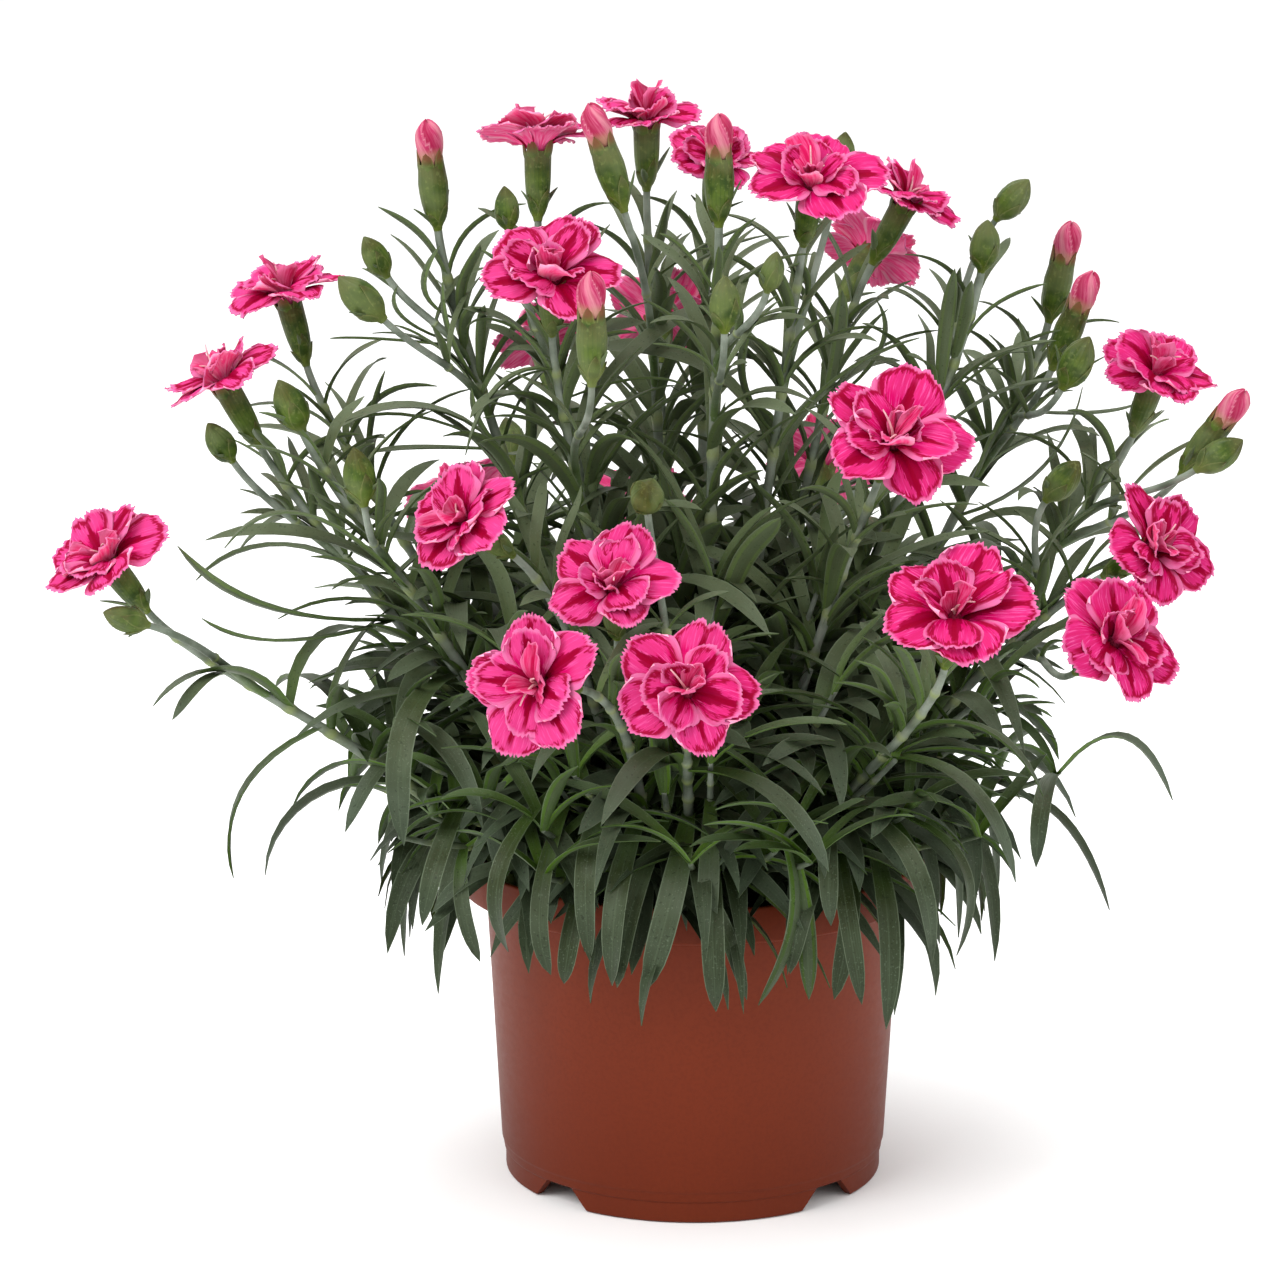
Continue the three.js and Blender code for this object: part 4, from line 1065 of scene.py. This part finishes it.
# Leaves that stand out in the photograph: the pixels of foot, middle and tip, each with its depth
# in millimetres, and half the leaf's width.
SHOWN = [
    [320, 722, -31, 243, 790, -38, 233, 878, -40, 3.0],
    [236, 672, -60, 203, 682, -62, 172, 720, -64, 2.0],
    [352, 660, -40, 262, 605, -44, 178, 546, -46, 2.9],
    [352, 662, -40, 280, 640, -48, 202, 618, -56, 1.8],
    [405, 600, -40, 305, 514, -46, 224, 548, -52, 2.6],
    [1046, 722, -4, 1122, 736, -12, 1173, 800, -18, 3.2],
    [985, 788, -8, 1058, 815, -20, 1110, 910, -28, 2.9],
    [885, 760, -70, 968, 786, -76, 1016, 882, -80, 3.4],
    [1048, 735, -58, 1044, 795, -64, 1036, 868, -64, 2.4],
    [695, 773, -86, 770, 792, -92, 829, 872, -96, 3.6],
    [688, 812, -84, 672, 895, -86, 645, 992, -80, 3.5],
    [630, 815, -80, 618, 890, -84, 612, 986, -78, 3.3],
    [612, 800, -80, 586, 868, -84, 590, 962, -78, 2.9],
    [797, 845, -72, 795, 922, -80, 758, 1005, -76, 3.1],
    [866, 830, -66, 888, 920, -76, 886, 1030, -74, 2.9],
    [455, 680, -60, 405, 728, -66, 404, 846, -66, 3.4],
    [470, 790, -66, 440, 852, -74, 422, 926, -76, 2.8],
    [440, 740, -31, 386, 762, -40, 345, 832, -46, 2.8],
    [662, 582, 5, 712, 572, -30, 757, 603, -52, 3.2],
    [540, 800, -84, 500, 870, -86, 508, 952, -80, 2.8],
    [930, 820, -56, 965, 870, -62, 957, 956, -64, 2.6],
    [820, 800, -76, 905, 850, -84, 932, 965, -80, 2.9],
    [720, 830, -82, 712, 920, -86, 716, 1012, -80, 3.1],
    [661, 822, -78, 634, 900, -82, 617, 988, -77, 2.8],
    [713, 800, -76, 709, 880, -82, 706, 940, -80, 2.9],
    [700, 850, -74, 724, 930, -80, 747, 1000, -76, 2.7],
    [830, 840, -70, 806, 905, -76, 790, 974, -74, 2.6],
    [800, 860, -70, 806, 930, -76, 809, 1000, -73, 2.6],
    [850, 840, -66, 850, 915, -74, 834, 1000, -70, 2.6],
    [822, 800, -66, 846, 905, -80, 862, 1005, -76, 2.6],
    [890, 810, -56, 918, 870, -64, 940, 944, -60, 2.4],
    [822, 790, -78, 828, 860, -84, 831, 926, -82, 2.6],
    [560, 810, -78, 540, 900, -82, 551, 975, -76, 2.4],
    [590, 860, -74, 572, 930, -78, 564, 984, -74, 2.6],
    [470, 840, -50, 462, 900, -58, 480, 962, -52, 2.2],
]
# Leaves between the upper stems: the pixels of foot, middle and tip, and half the width. They hang
# at the depth of the stem that shows nearest to their foot.
UPPER = [
    [414, 340, 424, 290, 440, 246, 1.5],
    [444, 400, 450, 335, 443, 282, 1.9],
    [418, 360, 404, 318, 398, 286, 1.4],
    [478, 455, 478, 420, 472, 388, 2.0],
    [530, 490, 532, 440, 527, 388, 2.6],
    [461, 455, 405, 414, 329, 431, 1.6],
    [427, 365, 377, 338, 330, 338, 1.2],
    [455, 469, 419, 447, 374, 452, 1.3],
    [551, 368, 500, 384, 465, 455, 1.7],
    [584, 390, 548, 356, 506, 350, 2.0],
    [553, 356, 498, 320, 466, 328, 1.2],
    [503, 510, 522, 480, 551, 466, 1.7],
    [704, 425, 664, 342, 605, 309, 2.2],
    [644, 322, 690, 266, 769, 234, 1.7],
    [667, 285, 702, 246, 756, 223, 1.3],
    [711, 300, 686, 252, 660, 233, 1.4],
    [595, 397, 637, 378, 687, 386, 1.4],
    [716, 423, 762, 390, 815, 403, 1.7],
    [773, 380, 798, 338, 831, 315, 1.5],
    [831, 375, 812, 315, 793, 274, 1.8],
    [477, 420, 508, 384, 549, 369, 1.7],
    [838, 420, 838, 350, 842, 290, 2.4],
    [862, 410, 880, 350, 876, 300, 1.8],
    [930, 400, 946, 330, 955, 268, 2.2],
    [965, 420, 1010, 350, 1060, 330, 1.6],
    [1050, 450, 1030, 380, 1018, 318, 1.8],
    [750, 440, 742, 380, 752, 330, 2.0],
    [640, 470, 622, 430, 596, 416, 1.9],
    [1000, 470, 1050, 430, 1100, 436, 1.7],
    [380, 470, 372, 420, 385, 370, 1.5],
    [582, 480, 591, 502, 571, 548, 2.6],
    [530, 600, 526, 555, 543, 516, 2.0],
    [985, 540, 1040, 470, 1082, 387, 2.4],
    [968, 478, 992, 440, 1012, 407, 2.2],
    [1045, 432, 1095, 412, 1143, 400, 1.5],
    [870, 538, 920, 508, 978, 504, 2.0],
]
UPPER_DEPTH = -20  # where the upper stems mostly stand
OFF_UPPER, OFF_SHOWN = 0.05, 0.45  # the pixels that a millimetre off the depth counts as


def shown_leaf(row, i):
    joints, upper = np.array(JOINTS), len(row) == 7
    px, py, _ = seen(joints[:, :3])
    weight, depth = (OFF_UPPER, UPPER_DEPTH) if upper else (OFF_SHOWN, row[2])
    off = np.hypot(px - row[0], py - row[1]) + weight * np.abs(joints[:, 1] - depth)
    *base, number = joints[off.argmin()]
    base = np.array(base)
    if upper:
        middle, tip = pixel(*row[2:4], base[1] - 5), pixel(*row[4:6], base[1] - 8)
    else:
        middle, tip = pixel(*row[3:6]), pixel(*row[6:9])
    bend = 2 * middle - (base + tip) / 2
    curve = [base, base + (bend - base) * 2 / 3, tip + (bend - tip) * 2 / 3, tip]
    leaf(SKINS[int(number)], clear_of_pot(curve) or curve, row[-1], math.radians(between(-25, 25, i, 400)),
         0.35, draw(i, 401), 0.0, blunt=None if upper else between(0.55, 1.1, i, 402))


HANGING = 34
HANGING_FROM, HANGING_OVER = 70, 220  # degrees: from the right, round the back, to the left


def hanging_leaf(i):
    """A leaf of the fringe that hangs over the collar, on the sides and at the back."""
    azimuth = HANGING_FROM + HANGING_OVER * (i + 0.5) / HANGING + between(-4, 4, i, 410)
    joints = np.array(JOINTS)
    want = direction(azimuth, 0) * between(42, 60, i, 411) + np.array([0, 0, between(96, 112, i, 412)])
    *base, number = joints[np.linalg.norm(joints[:, :3] - want, axis=1).argmin()]
    tip = direction(azimuth + between(-20, 20, i, 413), 0) * between(72, 88, i, 414)
    tip[2] = between(58, 82, i, 415)
    out = direction(azimuth, between(5, 35, i, 416))
    curve = clear_of_pot([base, base + out * 26, tip + [0, 0, 24], tip])
    if curve is not None and free(curve):
        leaf(SKINS[int(number)], curve, between(2.5, 3.5, i, 417), math.radians(between(-25, 25, i, 418)),
             0.35, draw(i, 419), 0.0, blunt=between(0.55, 1.1, i, 402))


def build_foliage():
    for number, heads in enumerate(STEMS):
        leafy_stem(number, heads)
    for i in range(SHOOTS):
        shoot(i)
    for i, row in enumerate(SHOWN + UPPER):
        shown_leaf(row, i)
    for i in range(HANGING):
        hanging_leaf(i)
    for number, skin in enumerate(SKINS, 1):
        name = f"leafy_stem_{number:02d}"
        piece = skin.make(name + "_fine", GREENS)
        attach(piece, "root")
        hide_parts(name)


# ---------------- pot and peat

LEDGE = POT["height"] - POT["collar_height"]  # the collar's lower edge
POT_FLOOR = POT["base"] + POT["wall"]
TAPER = (POT["top"] - POT["bottom"]) / (LEDGE - POT["base"])
OVERSHOOT = 4  # how far the notches' cutters reach past the foot ring
SOIL_GAP = 0.6
GRAINS = 260
POT_SIDES, HOLE_SIDES, SOIL_SIDES, GRAIN_SIDES = 160, 24, 96, 7


def inside(z):
    """The radius of the wall's inner side at a height below the collar."""
    return POT["bottom"] + TAPER * (z - POT["base"]) - POT["wall"]


def rounded(points, radius, steps=4):
    """A profile with its corners rounded."""
    points = np.array(points, float)
    out = [points[0]]
    for a, b, c in zip(points, points[1:], points[2:]):
        ab, cb = a - b, c - b
        r = min(radius, 0.45 * np.linalg.norm(ab), 0.45 * np.linalg.norm(cb))
        p, q = b + unit(ab) * r, b + unit(cb) * r
        for t in np.linspace(0, 1, steps + 1):
            out.append((1 - t) ** 2 * p + 2 * t * (1 - t) * b + t * t * q)
    out.append(points[-1])
    return np.array(out)


def cut_out(piece, rings):
    """Takes a closed shape out of a piece and joins its skin up again."""
    skin = Skin()
    skin.loft(rings, PLAIN, 0, 0)
    cutter = skin.make("cutter", [])
    modifier = piece.modifiers.new("cut", "BOOLEAN")
    modifier.object = cutter
    modifier.solver = "EXACT"
    graph = bpy.context.evaluated_depsgraph_get()
    mesh = bpy.data.meshes.new_from_object(piece.evaluated_get(graph))
    piece.modifiers.clear()
    piece.data = mesh
    bpy.data.objects.remove(cutter)


def build_pot():
    base, wall, foot, collar, height = (POT[k] for k in ("base", "wall", "foot", "collar", "height"))
    bottom, top, step, rise = (POT[k] for k in ("bottom", "top", "step", "step_height"))
    foot_in = foot - POT["foot_width"]
    outline = [
        [foot_in, base], [foot_in, 0], [foot, 0], [foot, base - 0.4], [bottom - step + 0.25, base],
        [bottom - 0.25, base + rise - 0.3], [bottom + 0.1, base + rise + 0.4], [top, LEDGE - 1.2],
        [top + 0.5, LEDGE], [collar, LEDGE], [collar, height], [collar - wall, height],
        [collar - wall, LEDGE + wall], [inside(LEDGE), LEDGE + wall], [inside(POT_FLOOR), POT_FLOOR],
    ]
    profile = np.concatenate([[[0.01, base]], rounded(outline, POT["lip"]), [[0.01, POT_FLOOR]]])
    skin = Skin()
    skin.loft(circle(profile[:, :1], profile[:, 1:], POT_SIDES), PLAIN, 0, 0)
    pot = skin.make("pot_fine", [pot_material()], 40)
    wide = foot * math.sin(math.radians(POT["notch_ground"]))
    slim = foot * math.sin(math.radians(POT["notch_base"]))
    wide += (wide - slim) / base  # the cutter goes on as steeply to 1 mm below the ground
    for i in range(POT["notches"]):
        out = direction(360 * (i + 0.5) / POT["notches"], 0)
        side = np.array([-out[1], out[0], 0])
        corners = [side * wide + [0, 0, -1], side * slim + [0, 0, base - 0.02],
                   -side * slim + [0, 0, base - 0.02], -side * wide + [0, 0, -1]]
        cut_out(pot, np.array([out * r + corners for r in (foot_in - OVERSHOOT, foot + OVERSHOOT)]))
    for centre in circle(POT["hole_ring"], 0, POT["holes"]):
        ends = (base - 2, POT_FLOOR + 2)
        cut_out(pot, np.array([centre + circle(POT["hole"], z, HOLE_SIDES) for z in ends]))
    pot.data.polygons.foreach_set("use_smooth", np.ones(len(pot.data.polygons), bool))
    pot.data.set_sharp_from_angle(angle=math.radians(38))
    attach(pot, "root")
    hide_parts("pot")


def build_soil():
    """The peat plug with its lumpy top, and loose grains on it."""
    wide, narrow = inside(SOIL_TOP) - SOIL_GAP, inside(POT_FLOOR) - SOIL_GAP
    floor = POT_FLOOR + 0.3
    rng = np.random.default_rng(11)
    waves = [(rng.normal(0, 1 / (6 + 5 * i), 2), rng.uniform(0, 6.28)) for i in range(14) for _ in range(2)]
    rings = [circle(r, z, SOIL_SIDES) for r, z in
             ((narrow, floor), (narrow + 0.5, floor + 1), (wide, SOIL_TOP - 2.2))]
    for r in np.linspace(wide - 0.6, 0.8, 26):
        flat = circle(r, 0, SOIL_SIDES)
        lump = sum(np.sin(flat[:, 0] * w[0] * 6 + flat[:, 1] * w[1] * 6 + phase) for w, phase in waves) / 14
        lump = lump + rng.uniform(-0.35, 0.35, SOIL_SIDES)
        z = SOIL_TOP - 1.1 + 0.55 * lump * min(1, (wide - r) / 3)
        rings.append(circle(r, z, SOIL_SIDES))
    skin = Skin()
    skin.loft(np.array(rings), PLAIN, 0, 0)
    for i in range(GRAINS):
        r, a = (wide - 3) * math.sqrt(draw(i, 500)), ROUND * draw(i, 501)
        size = between(0.7, 2.0, i, 502)
        lobes = 1 + 0.3 * np.sin(2 * turns(GRAIN_SIDES) + 9 * draw(i, 503))
        rings = [circle(size * share * lobes, size * z * 0.7, GRAIN_SIDES)
                 for z, share in ((-0.9, 0.4), (-0.3, 0.95), (0.35, 0.85), (0.9, 0.3))]
        skin.loft(np.array(rings) + [r * math.cos(a), r * math.sin(a), SOIL_TOP - 0.9], PLAIN, 0, 0)
    soil = skin.make("soil_fine", [peat_material()], 80)
    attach(soil, "root")
    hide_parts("soil")


# ---------------- building it all

build_pot()
build_soil()
build_foliage()
counts = {"bloom": 0, "bud": 0}
for head in HEADS:
    if head[0] in counts:
        counts[head[0]] += 1
        number = counts[head[0]]
        if head[0] == "bloom":
            bloom(f"bloom_{number:02d}", head, number)
        else:
            bud_tip(f"bud_tip_{number:02d}", head, number)

# ---------------- stage, light and camera


def add_object(name, data, place):
    made = bpy.data.objects.new(name, data)
    made.location = place
    bpy.context.scene.collection.objects.link(made)
    return made


def flat_square(name, size, place, material):
    mesh = bpy.data.meshes.new(name)
    h = size / 2
    mesh.from_pydata([(-h, -h, 0), (h, -h, 0), (h, h, 0), (-h, h, 0)], [], [(0, 1, 2, 3)])
    mesh.materials.append(material)
    return add_object(name, mesh, place)


def lamp(name, place, target, size, power):
    data = bpy.data.lights.new(name, "AREA")
    data.shape = "RECTANGLE"
    data.size = data.size_y = size
    data.energy = power
    made = add_object(name, data, place)
    made.rotation_euler = (Vector(target) - Vector(place)).to_track_quat("-Z", "Y").to_euler()


flat_square("floor", 40, (0, 0, -0.0002), floor_material())
lamp("key", (-1.2, -1.1, 1.5), (0, 0, 0.15), 1.2, 30)
lamp("fill", (1.3, -0.9, 0.9), (0, 0, 0.15), 1.2, 7)
lamp("top", (0.1, 0.3, 1.9), (0, 0, 0.1), 1.4, 20)

world = bpy.data.worlds.new("studio")
world.use_nodes = True
world.node_tree.nodes["Background"].inputs[0].default_value = (1, 1, 1, 1)
world.node_tree.nodes["Background"].inputs[1].default_value = 1.0
bpy.context.scene.world = world
bpy.context.scene.view_settings.view_transform = "Standard"

SENSOR = 36
camera = bpy.data.cameras.new("camera")
camera.sensor_width = SENSOR
camera.lens = LENS / PHOTO * SENSOR
camera.clip_end = 50
view = add_object("camera", camera, (EYE + POT_AXIS) * MM)
view.rotation_euler = (math.pi / 2 - PITCH, 0, 0)
bpy.context.scene.camera = view
